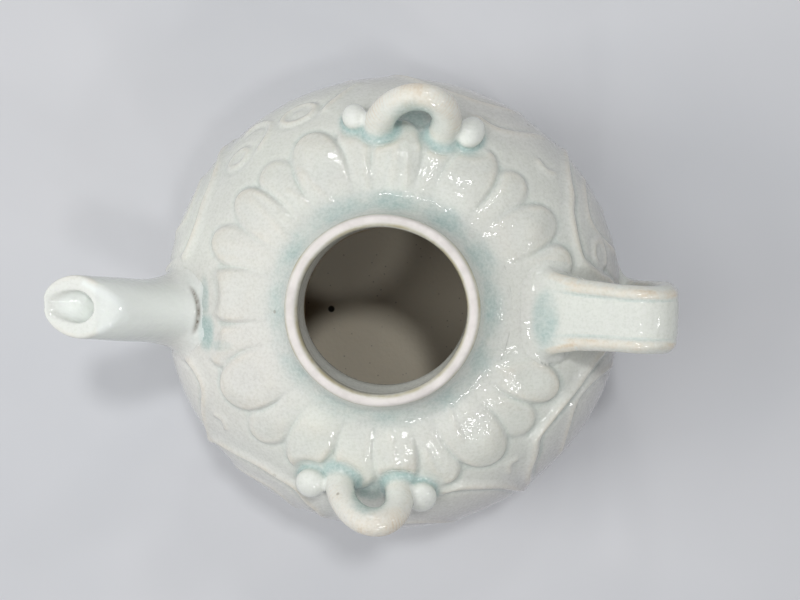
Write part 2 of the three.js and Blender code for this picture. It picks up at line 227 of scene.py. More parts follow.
def patch(az_centre, az_half, el_low, el_high):
    """Map rows and columns around a place, with local coordinates in millimetres."""
    rows = np.flatnonzero((map_el >= el_low) & (map_el <= el_high))
    count = int(az_half / MAP_STEP)
    middle = int(round(az_centre / MAP_STEP))
    cols = np.arange(middle - count, middle + count + 1)
    across = np.radians(cols * MAP_STEP - az_centre)[None, :] * map_r[rows][:, None]
    along = np.repeat(map_arc[rows][:, None], len(cols), axis=1)
    return np.ix_(rows, cols % len(map_az)), across, along


def blur(field, sigma_mm):
    """Gaussian blur of a map, with the sigma in millimetres at the shoulder."""
    rows, cols = field.shape
    fy = np.fft.fftfreq(2 * rows)[:, None]
    fx = np.fft.rfftfreq(cols)[None, :]
    sigma = math.degrees(sigma_mm / BLUR_RADIUS) / MAP_STEP
    doubled = np.vstack([field, field[::-1]])
    kernel = np.exp(-2 * (math.pi * sigma) ** 2 * (fx**2 + fy**2))
    return np.fft.irfft2(np.fft.rfft2(doubled) * kernel, doubled.shape)[:rows]


def waves(count, low, high):
    """An even mix of waves round the pot, from -1 to 1."""
    az = np.radians(map_az)[None, :]
    el = np.radians(map_el)[:, None]
    field = np.zeros((len(map_el), len(map_az)))
    for _ in range(count):
        turns = RNG.integers(low, high)
        climb = RNG.uniform(-high, high)
        field += np.cos(turns * az + climb * el + RNG.uniform(0, 6.28)) / turns**0.6
    return field / np.abs(field).max()


# The collar of lotus petals: azimuth, elevation of the tip, half-width in degrees on the shoulder

FRONT_PETALS = [
    (3, 31.5, 10), (29.7, 31.0, 10.3), (57.9, 31.6, 10.6), (86, 31.0, 10.35),
    (114.8, 30.4, 11.1), (143.3, 31.4, 9.3), (174.6, 31.2, 11.5), (209, 31.8, 12.6),
    (240.5, 31.4, 9.6), (273.8, 31.6, 9.4), (304, 30.8, 12.1), (333, 31.2, 9.6),
]
BACK_PETALS = [
    (15.2, 31.0, 9.5), (44.5, 31.6, 9), (73, 31.2, 8.5), (100.5, 31.0, 9),
    (130.2, 31.6, 9.5), (158.2, 31.0, 9), (193.6, 31.8, 9.5), (225, 31.2, 10),
    (258.7, 31.6, 9.5), (288.5, 31.2, 9), (319, 31.4, 9.5), (348, 31.0, 9),
]
# Height of the edge, height of the dome, depth of the groove round it, where it is widest as a share
# of its length, and the width of its base as a share of its widest
FRONT_FORM = (0.85, 1.0, 0.3, 0.5, 0.76)
BACK_FORM = (0.6, 0.5, 0.24, 0.42, 0.8)
WIDTH_ELEVATION = 44
DOME_REACH = 5.4
LARGEST_SKEW = 0.7

vary = 0.8 + 0.75 * waves(20, 8, 26)
base_fade = (1 - smoothstep(map_el, SEAT_ELEVATION - 8.5, SEAT_ELEVATION - 1.2))[:, None]


def petal_half_width(q, widest, base_share):
    """Half-width of a petal, as a share of its largest, at the share q of the way from its tip."""
    tip = np.clip(1 - q / widest, 0, 1)
    rounded = np.clip(1 - tip**2.3, 0, 1) ** (1 / 2.1)
    narrowing = np.clip((q - widest) / (1 - widest), 0, 1)
    return np.where(q < widest, rounded, 1 - (1 - base_share) * narrowing**1.6)


def petal_field(azimuth, tip_elevation, half_width, skew, widest, base_share):
    """Distance inside a petal's outline, negative outside, over its patch of the map."""
    place, across, along = patch(azimuth, 22, tip_elevation - 4, SEAT_ELEVATION + 1)
    length = arc_at(SEAT_ELEVATION - 0.5) - arc_at(tip_elevation)
    s = along - arc_at(tip_elevation)
    across = across - skew * np.clip(1 - s / length, 0, 1) ** 1.5
    q = np.concatenate([0.12 * np.linspace(0, 1, 14) ** 2, np.linspace(0.14, 1.1, 26)])
    w = half_width * petal_half_width(q, widest, base_share)
    outline = list(zip(-w, q * length))[::-1] + list(zip(w, q * length))[1:]
    d, _, _ = distance_to_line(across, s, outline)
    width_here = half_width * petal_half_width(np.clip(s / length, 0, 1), widest, base_share)
    return place, np.where((s > 0) & (np.abs(across) < width_here), d, -d)


def lay_petal(azimuth, tip, half_degrees, edge, dome, groove, widest, base_share):
    """A domed petal with a raised edge, pressed clear of what lies under it by a groove."""
    half = math.radians(half_degrees) * float(body_point(WIDTH_ELEVATION)[0])
    skew = RNG.uniform(-LARGEST_SKEW, LARGEST_SKEW)
    place, d = petal_field(azimuth, tip, half, skew, widest, base_share)
    here = relief[place]
    rows = map_el[place[0][:, 0]][:, None]
    fade = base_fade[place[0][:, 0]]
    crisp = (1 - 0.8 * smoothstep(rows, tip + 8, tip + 19)) * np.clip(vary[place], 0.3, 1.25)
    up = edge * crisp * smoothstep(d, -0.25, 1.3) + dome * (1 - (1 - np.clip(d / DOME_REACH, 0, 1)) ** 2)
    up += 0.1 * crisp * bell(d - 1.4, 0.6)
    cut = groove * crisp * bell(np.clip(-d, 0, None), 0.85)
    under = here * np.clip(1 - crisp, 0, 1) * smoothstep(-d, -2.5, 0)
    relief[place] = np.where(d > 0, np.maximum(np.maximum(up * fade, under), 0), here - cut * fade)


for petals, form in ((BACK_PETALS, BACK_FORM), (FRONT_PETALS, FRONT_FORM)):
    for petal in petals:
        lay_petal(*petal, *form)

# The belly's scroll: ridges through (azimuth, elevation), with the height of the ridge, its half-width
# and how deep the line beside it is pressed. A positive line lies on the ridge's left.

SCROLL = [
    ([(2, 12), (6, 18), (12, 27), (18, 28.2), (27, 26), (31.5, 22.5), (37, 18), (41, 10), (43, 0)],
     0.85, 1.3, -0.4),
    ([(3, 9), (9, 1), (19, -8), (32, -9), (43, 0)], 0.6, 1.2, 0.3),
    ([(38.5, 22), (41, 24.4), (45.5, 24)], 0.4, 1.0, -0.25),
    ([(47, 12), (51.5, 19), (56, 23), (61, 24.6), (67, 23)], 0.5, 1.2, -0.3),
    ([(55, 8), (62, 15), (70, 17.5), (80, 15), (88, 7), (92, -3)], 0.55, 1.2, -0.3),
    ([(55, 8), (60, -2), (70, -9), (82, -9), (92, -3)], 0.5, 1.1, 0.3),
    ([(97, 13), (103, 20), (109, 25)], 0.5, 1.1, -0.3),
    ([(98, 6), (106, -3), (118, -8), (130, -2), (137, 9)], 0.5, 1.2, 0.3),
    ([(130.6, 26), (125, 23), (123, 19), (126, 15), (131, 15)], 0.45, 0.9, 0.25),
    ([(134, 4), (138, 11), (140, 16), (144.5, 20), (150.6, 22.4), (157, 24), (164.5, 23.6), (168, 20.6)],
     0.95, 1.3, -0.45),
    ([(134, 4), (141, -6), (153, -11), (165, -6), (171, 6), (168, 20.6)], 0.6, 1.2, 0.3),
    ([(190, 8), (191.5, 17), (196, 24.5), (204, 26), (210, 20.5), (216, 14), (219, 4)], 0.8, 1.3, -0.4),
    ([(190, 8), (196, -4), (208, -9), (219, 4)], 0.55, 1.2, 0.3),
    ([(211.5, 24), (214.5, 26), (218, 24.5)], 0.4, 1.0, -0.2),
    ([(217, 10), (219, 17), (225, 21.5), (231.5, 24.5), (237, 25), (243, 24.6), (247, 21), (251, 17),
      (254, 8)], 0.95, 1.3, -0.45),
    ([(217, 10), (222, -2), (235, -9), (248, -4), (254, 8)], 0.6, 1.2, 0.3),
    ([(259, 6), (266, 14), (274, 17.5), (282, 14.5), (288, 5)], 0.55, 1.2, -0.3),
    ([(259, 6), (266, -5), (276, -9), (288, 5)], 0.5, 1.1, 0.3),
    ([(281, 28), (284.5, 29), (290, 29), (296.7, 26), (302, 21), (304.5, 13), (305, 4)], 0.75, 1.3, -0.4),
    ([(305.5, 24), (307.5, 27.4), (310.5, 27)], 0.35, 0.9, -0.2),
    ([(306, 8), (308, 16), (309.8, 20), (314, 24), (318.5, 28), (324.5, 28.4), (330.6, 27.8),
      (336.7, 26.3), (342.7, 24.2), (348, 20), (352, 12)], 1.0, 1.35, -0.5),
    ([(306, 8), (312, -4), (325, -11), (340, -8), (350, 2), (352, 12)], 0.6, 1.2, 0.3),
    ([(317, 11), (322, 18), (331, 23.4), (338, 22), (343, 16), (345, 8)], 0.6, 1.1, -0.3),
    ([(12, 8), (17, 17), (24, 20), (31, 15), (34, 6)], 0.5, 1.1, -0.3),
    ([(145, 7), (150, 14), (157, 16), (162, 9)], 0.45, 1.1, -0.25),
    ([(225, 7), (230, 14), (238, 17), (244, 11), (246, 4)], 0.5, 1.1, -0.3),
]
# Faint ribs combed along the petals, through (azimuth, elevation)
RIBS = [
    [(140.8, 35.4), (141.0, 42.7), (145.0, 54.4)], [(134.0, 37.7), (132.8, 44.5), (134.1, 51.5)],
    [(130.3, 41.4), (127.2, 45.6), (125.2, 50.0)], [(165.8, 31.8), (162.2, 38.5), (159.0, 48.3)],
    [(285.2, 44.7), (286.2, 38.5), (286.5, 34.5)], [(303.8, 54.6), (300.4, 47.2), (300.0, 42.2)],
    [(121.7, 39.1), (119.4, 46.7), (115.6, 52.8)], [(88.0, 52.0), (87.0, 46.0), (86.0, 40.5)],
    [(80.5, 52.0), (81.5, 45.0), (83.0, 38.5)], [(99.0, 53.0), (98.0, 46.0), (97.5, 38.0)],
    [(262.0, 52.0), (264.0, 45.0), (265.5, 39.0)], [(272.0, 52.0), (273.0, 44.0), (274.5, 37.0)],
]
RIB_FORM = (0.15, 0.9, 0.06)
# Beads beside the collar's tips, and blossoms in the scroll: azimuth, elevation, radius, height
BEADS = [(14, 20.6, 2.3, 0.5), (114.8, 21.6, 3.1, 0.55), (135, 22.4, 2.1, 0.45)]
BLOSSOMS = [
    (76, -2, 5.0, 0.6), (153, -3, 4.8, 0.6), (273, -2, 5.0, 0.6), (204, 0, 4.8, 0.6),
    (329, -1, 5.0, 0.6), (236, 0, 4.8, 0.6), (24, -1, 4.6, 0.6), (117, 0, 4.6, 0.6),
]
BLOSSOM_TIERS = ((7, 1.0, 0.0), (5, 0.56, 0.4))  # lobes, share of the radius, turn in radians


def lay_ridge(points, height, width, line):
    """A ridge with a line pressed beside it and a low back on its other side."""
    azimuths, elevations = zip(*points)
    az0 = (min(azimuths) + max(azimuths)) / 2
    half = (max(azimuths) - min(azimuths)) / 2 + 7
    place, across, along = patch(az0, half, min(elevations) - 8, max(elevations) + 8)
    local = [(math.radians(a - az0) * float(body_point(e)[0]), float(arc_at(e))) for a, e in points]
    d, side, share = distance_to_line(across, along, smooth_line(local, 10 * len(points)))
    ends = 0.15 + 0.85 * smoothstep(share, 0, 0.12) * (1 - smoothstep(share, 0.88, 1))
    signed = d * side * np.sign(line)
    crest = height * np.exp(-((signed / width) ** 2) * np.where(signed > 0, 2.2, 0.8))
    pressed = abs(line) * bell(signed - 1.35 * width, 0.55)
    back = 0.22 * height * np.exp(-np.clip(-signed, 0, None) / 2.6) * (signed < 0)
    relief[place] += (crest - pressed + back) * ends * bell(d, 6.5, 4)


def lay_bead(azimuth, elevation, radius, height):
    """An almond-shaped raised line with a raised heart."""
    place, across, along = patch(azimuth, 9, elevation - 8, elevation + 8)
    d = np.hypot(across / 1.3, along - arc_at(elevation))
    groove = 0.4 * bell(d - radius - 1.2, 0.5)
    relief[place] += height * (bell(d - radius, 0.6) + 0.5 * bell(d, 0.33 * radius) - groove)


def lay_blossom(azimuth, elevation, radius, height):
    """Two tiers of domed petals around a heart."""
    place, across, along = patch(azimuth, 12, elevation - 11, elevation + 11)
    up = along - arc_at(elevation)
    d = np.hypot(across, up)
    angle = np.arctan2(up, across)
    for count, size, turn in BLOSSOM_TIERS:
        lobe = np.abs(np.cos(0.5 * count * (angle - turn)))
        edge = radius * size * (0.72 + 0.28 * lobe**0.6)
        dome = smoothstep(edge - d, 0, 1.0)
        valley = (1 - lobe) ** 2 * smoothstep(d, 0.2 * radius * size, 0.7 * radius * size)
        groove = bell(d - edge - 0.45, 0.45)
        relief[place] += height * (0.55 * dome * (1 - 0.7 * valley) - 0.25 * groove)
    relief[place] += 0.4 * height * bell(d, 0.17 * radius)


for rib in RIBS:
    lay_ridge(rib, *RIB_FORM)
collar_only = relief.copy()
relief[:] = 0
for stroke in SCROLL:
    lay_ridge(*stroke)
for bead in BEADS:
    lay_bead(*bead)
for blossom in BLOSSOMS:
    lay_blossom(*blossom)
under_collar = smoothstep(blur((np.abs(collar_only) > 0.02).astype(float), 0.5), 0.15, 0.6)
relief = collar_only + relief * (1 - under_collar)

# The pressed and wiped clay is never quite even, and the two halves' seam shows a little

uneven = 0.16 * waves(14, 2, 9) + 0.12 * waves(30, 10, 34)
quiet = smoothstep(map_el, MAP_LOW, -44) * (1 - smoothstep(map_el, SEAT_ELEVATION - 4, SEAT_ELEVATION))
quiet = quiet[:, None]
seam = -0.05 * bell(map_el, 0.7)[:, None]

# Where the luted pieces sit, the slip smooths the relief away: azimuth, elevation, radius

SEATS = [
    (181.3, 19.5, 10.2), (176, 31, 5.0), (187, 30.5, 5.0), (358.4, 38.5, 9.0), (358.6, 45, 9.0),
    (358.2, 52, 10.0), (358.4, -8, 9.0), (91.8, 34.6, 2.8), (72.8, 34.6, 2.8), (273.2, 34.6, 2.8),
    (255.2, 34.6, 2.8), (99.6, 31.5, 2.9), (64.4, 31.5, 3.4), (246.4, 31.5, 3.4), (280, 31.5, 3.6),
]
SEAT_FADE = 3.2
kept = np.ones_like(relief)
for azimuth, elevation, radius in SEATS:
    place, across, along = patch(azimuth, 34, elevation - 30, elevation + 22)
    clear = np.hypot(across, along - arc_at(elevation)) - radius
    kept[place] = np.minimum(kept[place], smoothstep(clear, 0.2, SEAT_FADE))
relief = blur(relief * kept, 0.26) * quiet + uneven * quiet + seam
pooled = np.clip((blur(relief, 1.3) - blur(relief, 0.3)) / 0.3, -1, 1)  # where glaze lies deeper


def sample_map(field, azimuth, elevation):
    """A map's values at directions given in degrees."""
    row = np.clip((np.asarray(elevation) - MAP_LOW) / MAP_STEP, 0, len(map_el) - 1.001)
    return bilinear(field, row, (np.asarray(azimuth) % 360) / MAP_STEP)


def polar(x, y, z):
    """Azimuth, elevation and distance from the belly's centre."""
    y = y / OVAL
    r = np.hypot(x, y)
    rise = z - BELLY_HEIGHT
    return np.degrees(np.arctan2(y, x)), np.degrees(np.arctan2(rise, r)), np.hypot(r, rise)


def body_field(x, y, z):
    """Distance outside the body's surface with its relief, negative inside."""
    azimuth, elevation, reach = polar(x, y, z)
    surface = body_reach(elevation)
    r, h = body_point(elevation)
    r1, h1 = body_point(elevation, 1.0)
    slant = ((r1 - r) * r + (h1 - h) * (h - BELLY_HEIGHT)) / surface
    return (reach - surface) * slant - sample_map(relief, azimuth, elevation)


# Fields of the luted pieces


def turned(x, y, azimuth):
    a = math.radians(azimuth)
    return x * math.cos(a) + y * math.sin(a), -x * math.sin(a) + y * math.cos(a)


class PlanarPath:
    """Signed distance to a path in the plane of its azimuth, and the share of the way along."""

    MARGIN = 16
    STEP = 0.2

    def __init__(self, azimuth, points):
        self.azimuth = azimuth
        self.low = points.min(0) - self.MARGIN
        high = points.max(0) + self.MARGIN
        grid = [np.arange(a, b, self.STEP) for a, b in zip(self.low, high)]
        gx, gz = np.meshgrid(*grid, indexing="ij")
        lengths = np.concatenate([[0], np.cumsum(np.hypot(*np.diff(points, axis=0).T))])
        d, side, share = distance_to_line(gx, gz, [tuple(p) for p in points])
        self.out = d * side
        self.share = np.interp(share * (len(points) - 1), np.arange(len(points)), lengths / lengths[-1])
        self.length = lengths[-1]

    def at(self, px, pz):
        u, v = (
            np.clip((place - low) / self.STEP, 0, size - 1.001)
            for place, low, size in zip((px, pz), self.low, self.out.shape)
        )
        return bilinear(self.out, u, v), bilinear(self.share, u, v)


# Handle: a strap with two raised edges and a sunk panel on its outer face

HANDLE_AZIMUTH = 358.4
HANDLE_UPPER_ELEVATION = 38.5
HANDLE_LOWER_DROP = 5.5
HANDLE_REACH = 60.9
HANDLE_CROWN = 77.2
STRAP_THICK = 2.6
# Half the strap's width, at shares of the way from its upper root to its lower one
WIDTH_SHARES = [0, 0.08, 0.17, 0.27, 0.36, 0.44, 0.52, 0.75, 0.88, 1]
HALF_WIDTHS = [9.6, 9.2, 7.7, 7.15, 7.2, 7.75, 7.6, 7.2, 7.9, 9.5]


def handle_line():
    """The strap's middle line, through the same points as in the CAD."""
    upper_r, upper_z = map(float, body_point(HANDLE_UPPER_ELEVATION))
    lower = elevation_where(lambda e: body_point(e)[1] < BELLY_HEIGHT - HANDLE_LOWER_DROP, -89, 0)
    lower_r, lower_z = map(float, body_point(lower))
    return centripetal(
        [
            (upper_r - 4.2, upper_z - 5.7),
            (upper_r, upper_z),
            (between(upper_r, HANDLE_REACH, 0.4), between(upper_z, HANDLE_CROWN, 0.72)),
            (between(upper_r, HANDLE_REACH, 0.72), HANDLE_CROWN),
            (HANDLE_REACH - 1.5, between(upper_z, HANDLE_CROWN, 0.75)),
            (HANDLE_REACH, between(lower_z, HANDLE_CROWN, 0.72)),
            (between(lower_r, HANDLE_REACH, 0.72), between(lower_z, HANDLE_CROWN, 0.4)),
            (lower_r, lower_z),
            (lower_r - 4.7, lower_z - 8.3),
        ],
        160,
    )


handle_path = PlanarPath(HANDLE_AZIMUTH, handle_line())


def handle_reach(x, y, z):
    """The slip is thickest where the strap rises from the shoulder, towards the neck."""
    px, side = turned(x, y, HANDLE_AZIMUTH)
    return 3.2 + 2.6 * (1 - smoothstep(px, 34, 42)) * (1 - smoothstep(np.abs(side), 3, 11)) * (z > 60)


def handle_field(x, y, z):
    px, side = turned(x, y, HANDLE_AZIMUTH)
    out, share = handle_path.at(px, z)
    side = side + 0.45 * bell(share - 0.34, 0.1)
    half = np.interp(share, WIDTH_SHARES, HALF_WIDTHS)
    thick = STRAP_THICK * (1 + 0.2 * bell(np.minimum(share, 1 - share), 0.12))
    s = np.abs(side) / half
    ridge = 0.3 * bell(s - 0.76, 0.15)
    line = -0.34 * bell(s - 0.56, 0.065)
    panel = -0.2 * (1 - smoothstep(s, 0.4, 0.66)) + 0.1 * bell(s, 0.3)
    bendless = 1 - 0.75 * bell(share - 0.42, 0.06)
    fade = smoothstep(share, 0.08, 0.18) * (1 - smoothstep(share, 0.8, 0.93)) * bendless
    shape = (ridge + line + panel) * fade * smoothstep(out / thick, 0.1, 0.9)
    crown = bell(share - 0.43, 0.12)
    shape = shape - 0.6 * crown * smoothstep(s, 0.3, 1.1)
    edge = between(1.75, 2.5, crown)
    across = np.abs(out - shape) - (thick - edge)
    along = np.abs(side) - (half - edge)
    corner = np.hypot(np.maximum(across, 0), np.maximum(along, 0))
    return corner + np.minimum(np.maximum(across, along), 0) - edge


# Spout: a bent tube, cut level with the rim

SPOUT_AZIMUTH = 181.3
SPOUT_ELEVATION = 19.5
SPOUT_ROOT_TILT = 40
SPOUT_TIP_TILT = 43
MOUTH_REACH = 65.6
MOUTH_LEAN = -2.4
TUBE_RADIUS = 7.05
BORE_RADIUS = 4.1
ROOT_DEPTH = 9  # how far the tube's line runs on inside the body, and past the mouth
MOUTH_RUN = 13

root_r, root_z = map(float, body_point(SPOUT_ELEVATION))
root_way = np.array([cosine(SPOUT_ROOT_TILT), sine(SPOUT_ROOT_TILT)])


def spout_line():
    root = np.array([root_r, root_z])
    mouth = np.array([MOUTH_REACH, RIM_HEIGHT])
    tip_way = np.array([cosine(SPOUT_TIP_TILT), sine(SPOUT_TIP_TILT)])
    run = math.dist((MOUTH_REACH, MOUTH_LEAN, RIM_HEIGHT), (root_r, 0, root_z)) * 0.3
    inside = [root - root_way * ROOT_DEPTH, root - root_way * 4]
    tube = bezier(root, root + root_way * run, mouth - tip_way * run, mouth, 60)
    return np.vstack([inside, tube, [mouth + tip_way * 5, mouth + tip_way * MOUTH_RUN]])


spout_path = PlanarPath(SPOUT_AZIMUTH, spout_line())
root_share = ROOT_DEPTH / spout_path.length
mouth_share = 1 - MOUTH_RUN / spout_path.length


def spout_round(x, y, z):
    """Places round the tube's line: outwards, sideways, and from 0 at the root to 1 at the mouth."""
    px, side = turned(x, y, SPOUT_AZIMUTH)
    out, share = spout_path.at(px, z)
    along = (share - root_share) / (mouth_share - root_share)
    return out, side - MOUTH_LEAN * np.clip(along, 0, 1.3) ** 1.3, along


def spout_reach(x, y, z):
    """The spout's upper end shows a crease, where its clay laps over the body."""
    _, side = turned(x, y, SPOUT_AZIMUTH)
    return 2.8 - 2.0 * bell(side, 4.6, 4) * smoothstep(z, 60, 63)


def spout_field(x, y, z):
    out, side, along = spout_round(x, y, z)
    tip = smoothstep(along, 0.5, 0.95)
    root = bell(np.maximum(along, 0), 0.16, 1.5)
    above = 11.5 - 4.0 * np.clip(along, 0, 1.2) - 3.1 * np.clip(along, 0, 1.2) ** 2
    tall = np.where(out > 0, above, between(TUBE_RADIUS, 5.2, tip) + 4.6 * root)
    wide = between(TUBE_RADIUS, 6.8, tip) + 1.5 * root
    tube = (np.hypot(out / tall, side / wide) - 1) * np.minimum(tall, wide)
    inward = np.clip(MOUTH_REACH - 4.2 - np.hypot(x, y), 0, 8)
    top = RIM_HEIGHT + 0.1 - 0.3 * inward - z
    return soft_cut(tube, top, between(1.1, 0.7, smoothstep(out, -4, 3)))


def spout_bore_field(x, y, z):
    """The bore, round inside and flatter towards the mouth, where its lower side drops."""
    out, side, along = spout_round(x, y, z)
    narrow = smoothstep(along, 0.5, 0.72)
    near_mouth = smoothstep(along, 0.78, 0.95)
    above = between(between(BORE_RADIUS, 3.4, narrow), 2.7, near_mouth)
    below = between(between(BORE_RADIUS, 0.8, narrow), 4.65, np.clip((along - 0.78) / 0.38, 0, 1))
    tall = np.where(out > 0, above, below)
    wide = between(between(BORE_RADIUS, 2.9, narrow), 3.45, near_mouth)
    size = np.minimum(np.minimum(above, wide), np.maximum(below, 2.0))
    return (np.hypot(out / tall, side / wide) - 1) * size


def spout_crease(x, y, z):
    """How strongly the crease shows where the spout's upper end laps over the body."""
    _, side = turned(x, y, SPOUT_AZIMUTH)
    gap = body_field(x, y, z) - spout_field(x, y, z) - 0.55
    return bell(gap, 0.45) * bell(side + 0.4, 5.0, 6) * smoothstep(z, 60, 62)


# Seen from above, the V of two edges where the top was pared flat
V_LINE = ((-63.6, 5.8), (-56.6, 1.8), (-55.8, -1.6), (-60.4, -4.3))


def spout_white_edges_and_painted_light(x, y, z):
    """Painted light that whitens the tube, less on the lip, and white thin glaze on the V of its edges."""
    stroke, _, _ = distance_to_line(x, y, V_LINE)
    lip = smoothstep(z, 78.2, 79.4) * smoothstep(-x, 59.5, 62.5)
    return np.clip(0.74 - 0.58 * lip + 0.8 * bell(stroke, 0.6) * (z > 68), 0, 1) * smoothstep(z, 57, 68)


# Cord loops and pellets

LOOP_ELEVATION = 34.6
LOOP_TILT = 54.5
LOOP_RISE = 10.8
LOOP_ROOT = 6
COIL = 3.05
PELLET_ELEVATION = 31.5
PELLET_SINK = 0.275  # how high the centre lies over the body, as a share of the pellet's height


class Loop:
    """A bent coil that rises from two feet on the shoulder."""

    def __init__(self, azimuth, half_span, lean):
        foot_r, foot_z = map(float, body_point(LOOP_ELEVATION))
        ca, sa = cosine(azimuth), sine(azimuth)

        def place(side, rise):
            px = foot_r + rise * cosine(LOOP_TILT)
            return px * ca - side * sa, px * sa + side * ca, foot_z + rise * sine(LOOP_TILT)

        points = [place(-half_span, -LOOP_ROOT)]
        for angle in np.arange(0, 181, 22.5):
            rise = max(sine(angle), 0) ** 0.85 * LOOP_RISE
            points.append(place(-cosine(angle) * half_span + lean * rise / LOOP_RISE, rise))
        points.append(place(half_span, -LOOP_ROOT))
        self.line = centripetal(points, 56)

    def field(self, x, y, z):
        best = np.full(np.shape(x), 1e9)
        where = np.zeros(np.shape(x))
        count = len(self.line) - 1
        for i in range(count):
            a, b = self.line[i], self.line[i + 1]
            d = b - a
            t = np.clip(((x - a[0]) * d[0] + (y - a[1]) * d[1] + (z - a[2]) * d[2]) / (d @ d), 0, 1)
            near = (x - a[0] - t * d[0]) ** 2 + (y - a[1] - t * d[1]) ** 2 + (z - a[2] - t * d[2]) ** 2
            where = np.where(near < best, (i + t) / count, where)
            best = np.minimum(best, near)
        swell = 0.12 * np.sin(9 * where + self.line[0][0]) + 0.3 * bell(np.minimum(where, 1 - where), 0.2)
        return np.sqrt(best) - COIL - swell


loops = {"back": Loop(82.3, 7.3, -2.1), "front": Loop(264.2, 6.8, 1.8)}


class Pellet:
    """An egg of clay pressed on beside a loop's foot."""

    def __init__(self, azimuth, width, length, height, loop):
        r, z = map(float, body_point(PELLET_ELEVATION, height * PELLET_SINK))
        r1, z1 = map(float, body_point(PELLET_ELEVATION, height * PELLET_SINK + 1))
        ca, sa = cosine(azimuth), sine(azimuth)
        self.centre = np.array([r * ca, r * sa, z])
        up = np.array([(r1 - r) * ca, (r1 - r) * sa, z1 - z])
        side = np.array([-sa, ca, 0])
        self.axes = np.array([np.cross(side, up), side, up])
        self.radii = np.array([length, width, height]) / 2
        self.loop = loop

    def field(self, x, y, z):
        v = np.stack([x - self.centre[0], y - self.centre[1], z - self.centre[2]], -1) @ self.axes.T
        a = np.linalg.norm(v / self.radii, axis=-1)
        b = np.linalg.norm(v / self.radii**2, axis=-1)
        return a * (a - 1) / np.maximum(b, 1e-6)


pellets = {
    "back_left": Pellet(99.6, 5.5, 6.4, 4.9, "back"),
    "back_right": Pellet(64.4, 6.2, 8.2, 5.1, "back"),
    "front_left": Pellet(246.4, 7, 7.4, 5.4, "front"),
    "front_right": Pellet(280, 7.1, 7.8, 5.4, "front"),
}

# Neck

NECK_SHIFT = 0.45  # the rim sits this far towards the spout, and is a little oval
NECK_OVAL = 0.02
NECK_OUTSIDE = NECK_BORE + NECK_WALL + 0.1
NECK_FILLET = 5.2


def neck_rise(z):
    return np.clip((z - SEAT_HEIGHT) / (RIM_HEIGHT - SEAT_HEIGHT), 0, 1)


def neck_wall_field(x, y, z):
    up = neck_rise(z)
    px = x + NECK_SHIFT * up
    py = y / (1 - NECK_OVAL * up)
    return np.hypot(px, py) - NECK_OUTSIDE - (1 - up) ** 2.4


# Meshes


def make_mesh(name, verts, faces, materials):
    """A smooth mesh object in metres, from vertices in millimetres and lists of corners."""
    mesh = bpy.data.meshes.new(name)
    sizes = np.array([len(f) for f in faces])
    corners = np.concatenate([np.asarray(f) for f in faces])
    mesh.vertices.add(len(verts))
    mesh.vertices.foreach_set("co", (np.asarray(verts) / 1000).astype(np.float32).ravel())
    mesh.loops.add(len(corners))
    mesh.loops.foreach_set("vertex_index", corners.astype(np.int32))
    mesh.polygons.add(len(sizes))
    starts = np.concatenate([[0], np.cumsum(sizes)[:-1]])
    mesh.polygons.foreach_set("loop_start", starts.astype(np.int32))
    mesh.update(calc_edges=True)
    mesh.validate()
    mesh.polygons.foreach_set("use_smooth", np.full(len(mesh.polygons), True))
    obj = bpy.data.objects.new(name, mesh)
    bpy.context.scene.collection.objects.link(obj)
    for material in materials:
        mesh.materials.append(material)
    return obj


def surface_net(values, lo, step):
    """Vertices and quads of the zero surface of a field on a grid, facing outwards."""
    inside = values < 0
    shape = np.array(values.shape) - 1
    total = int(np.prod(shape))
    sums = np.zeros((3, total))
    counts = np.zeros(total)

    def cells_round(index, axis):
        """The four grid cells round each crossed edge, in order, and which of them exist."""
        for back in ((0, 0), (1, 0), (1, 1), (0, 1)):
            cell = index.copy()
            cell[:, (axis + 1) % 3] -= back[0]
            cell[:, (axis + 2) % 3] -= back[1]
            yield cell, ((cell >= 0) & (cell < shape)).all(1)

    edges = []
    for axis in range(3):
        low = [slice(None)] * 3
        high = [slice(None)] * 3
        low[axis], high[axis] = slice(0, -1), slice(1, None)
        crossing = inside[tuple(low)] != inside[tuple(high)]
        index = np.argwhere(crossing)
        v0 = values[tuple(low)][crossing]
        v1 = values[tuple(high)][crossing]
        place = index.astype(float)
        place[:, axis] += v0 / (v0 - v1)
        for cell, exists in cells_round(index, axis):
            linear = np.ravel_multi_index(cell[exists].T, shape)
            counts += np.bincount(linear, minlength=total)
            for k in range(3):
                sums[k] += np.bincount(linear, weights=place[exists, k], minlength=total)
        edges.append((axis, index, inside[tuple(low)][crossing]))
    used = np.flatnonzero(counts)
    number = np.full(total, -1)
    number[used] = np.arange(len(used))
    verts = (sums[:, used] / counts[used]).T * step + lo
    quads = []
    for axis, index, starts_inside in edges:
        corners = []
        whole = np.ones(len(index), bool)
        for cell, exists in cells_round(index, axis):
            whole &= exists
            corners.append(number[np.ravel_multi_index(np.clip(cell, 0, shape - 1).T, shape)])
        quad = np.stack(corners, 1)[whole]
        flip = ~starts_inside[whole]
        quad[flip] = quad[flip][:, ::-1]
        quads.append(quad)
    return verts, np.vstack(quads)


def settle(verts, field, rounds=3):
    """Moves vertices that are near the field's zero surface onto it."""
    e = 0.02  # half the step over which a slope is measured
    farthest = 0.35
    longest_step = 0.2
    for _ in range(rounds):
        f = field(*verts.T)
        slopes = []
        for axis in range(3):
            shift = np.eye(3)[axis] * e
            slopes.append(field(*(verts + shift).T) - field(*(verts - shift).T))
        g = np.stack(slopes, 1) / (2 * e)
        move = -(f / np.maximum((g**2).sum(1), 0.05))[:, None] * g
        size = np.linalg.norm(move, axis=1)
        move *= np.minimum(1, longest_step / np.maximum(size, 1e-9))[:, None]
        verts = verts + move * (np.abs(f) < farthest)[:, None]
    return verts
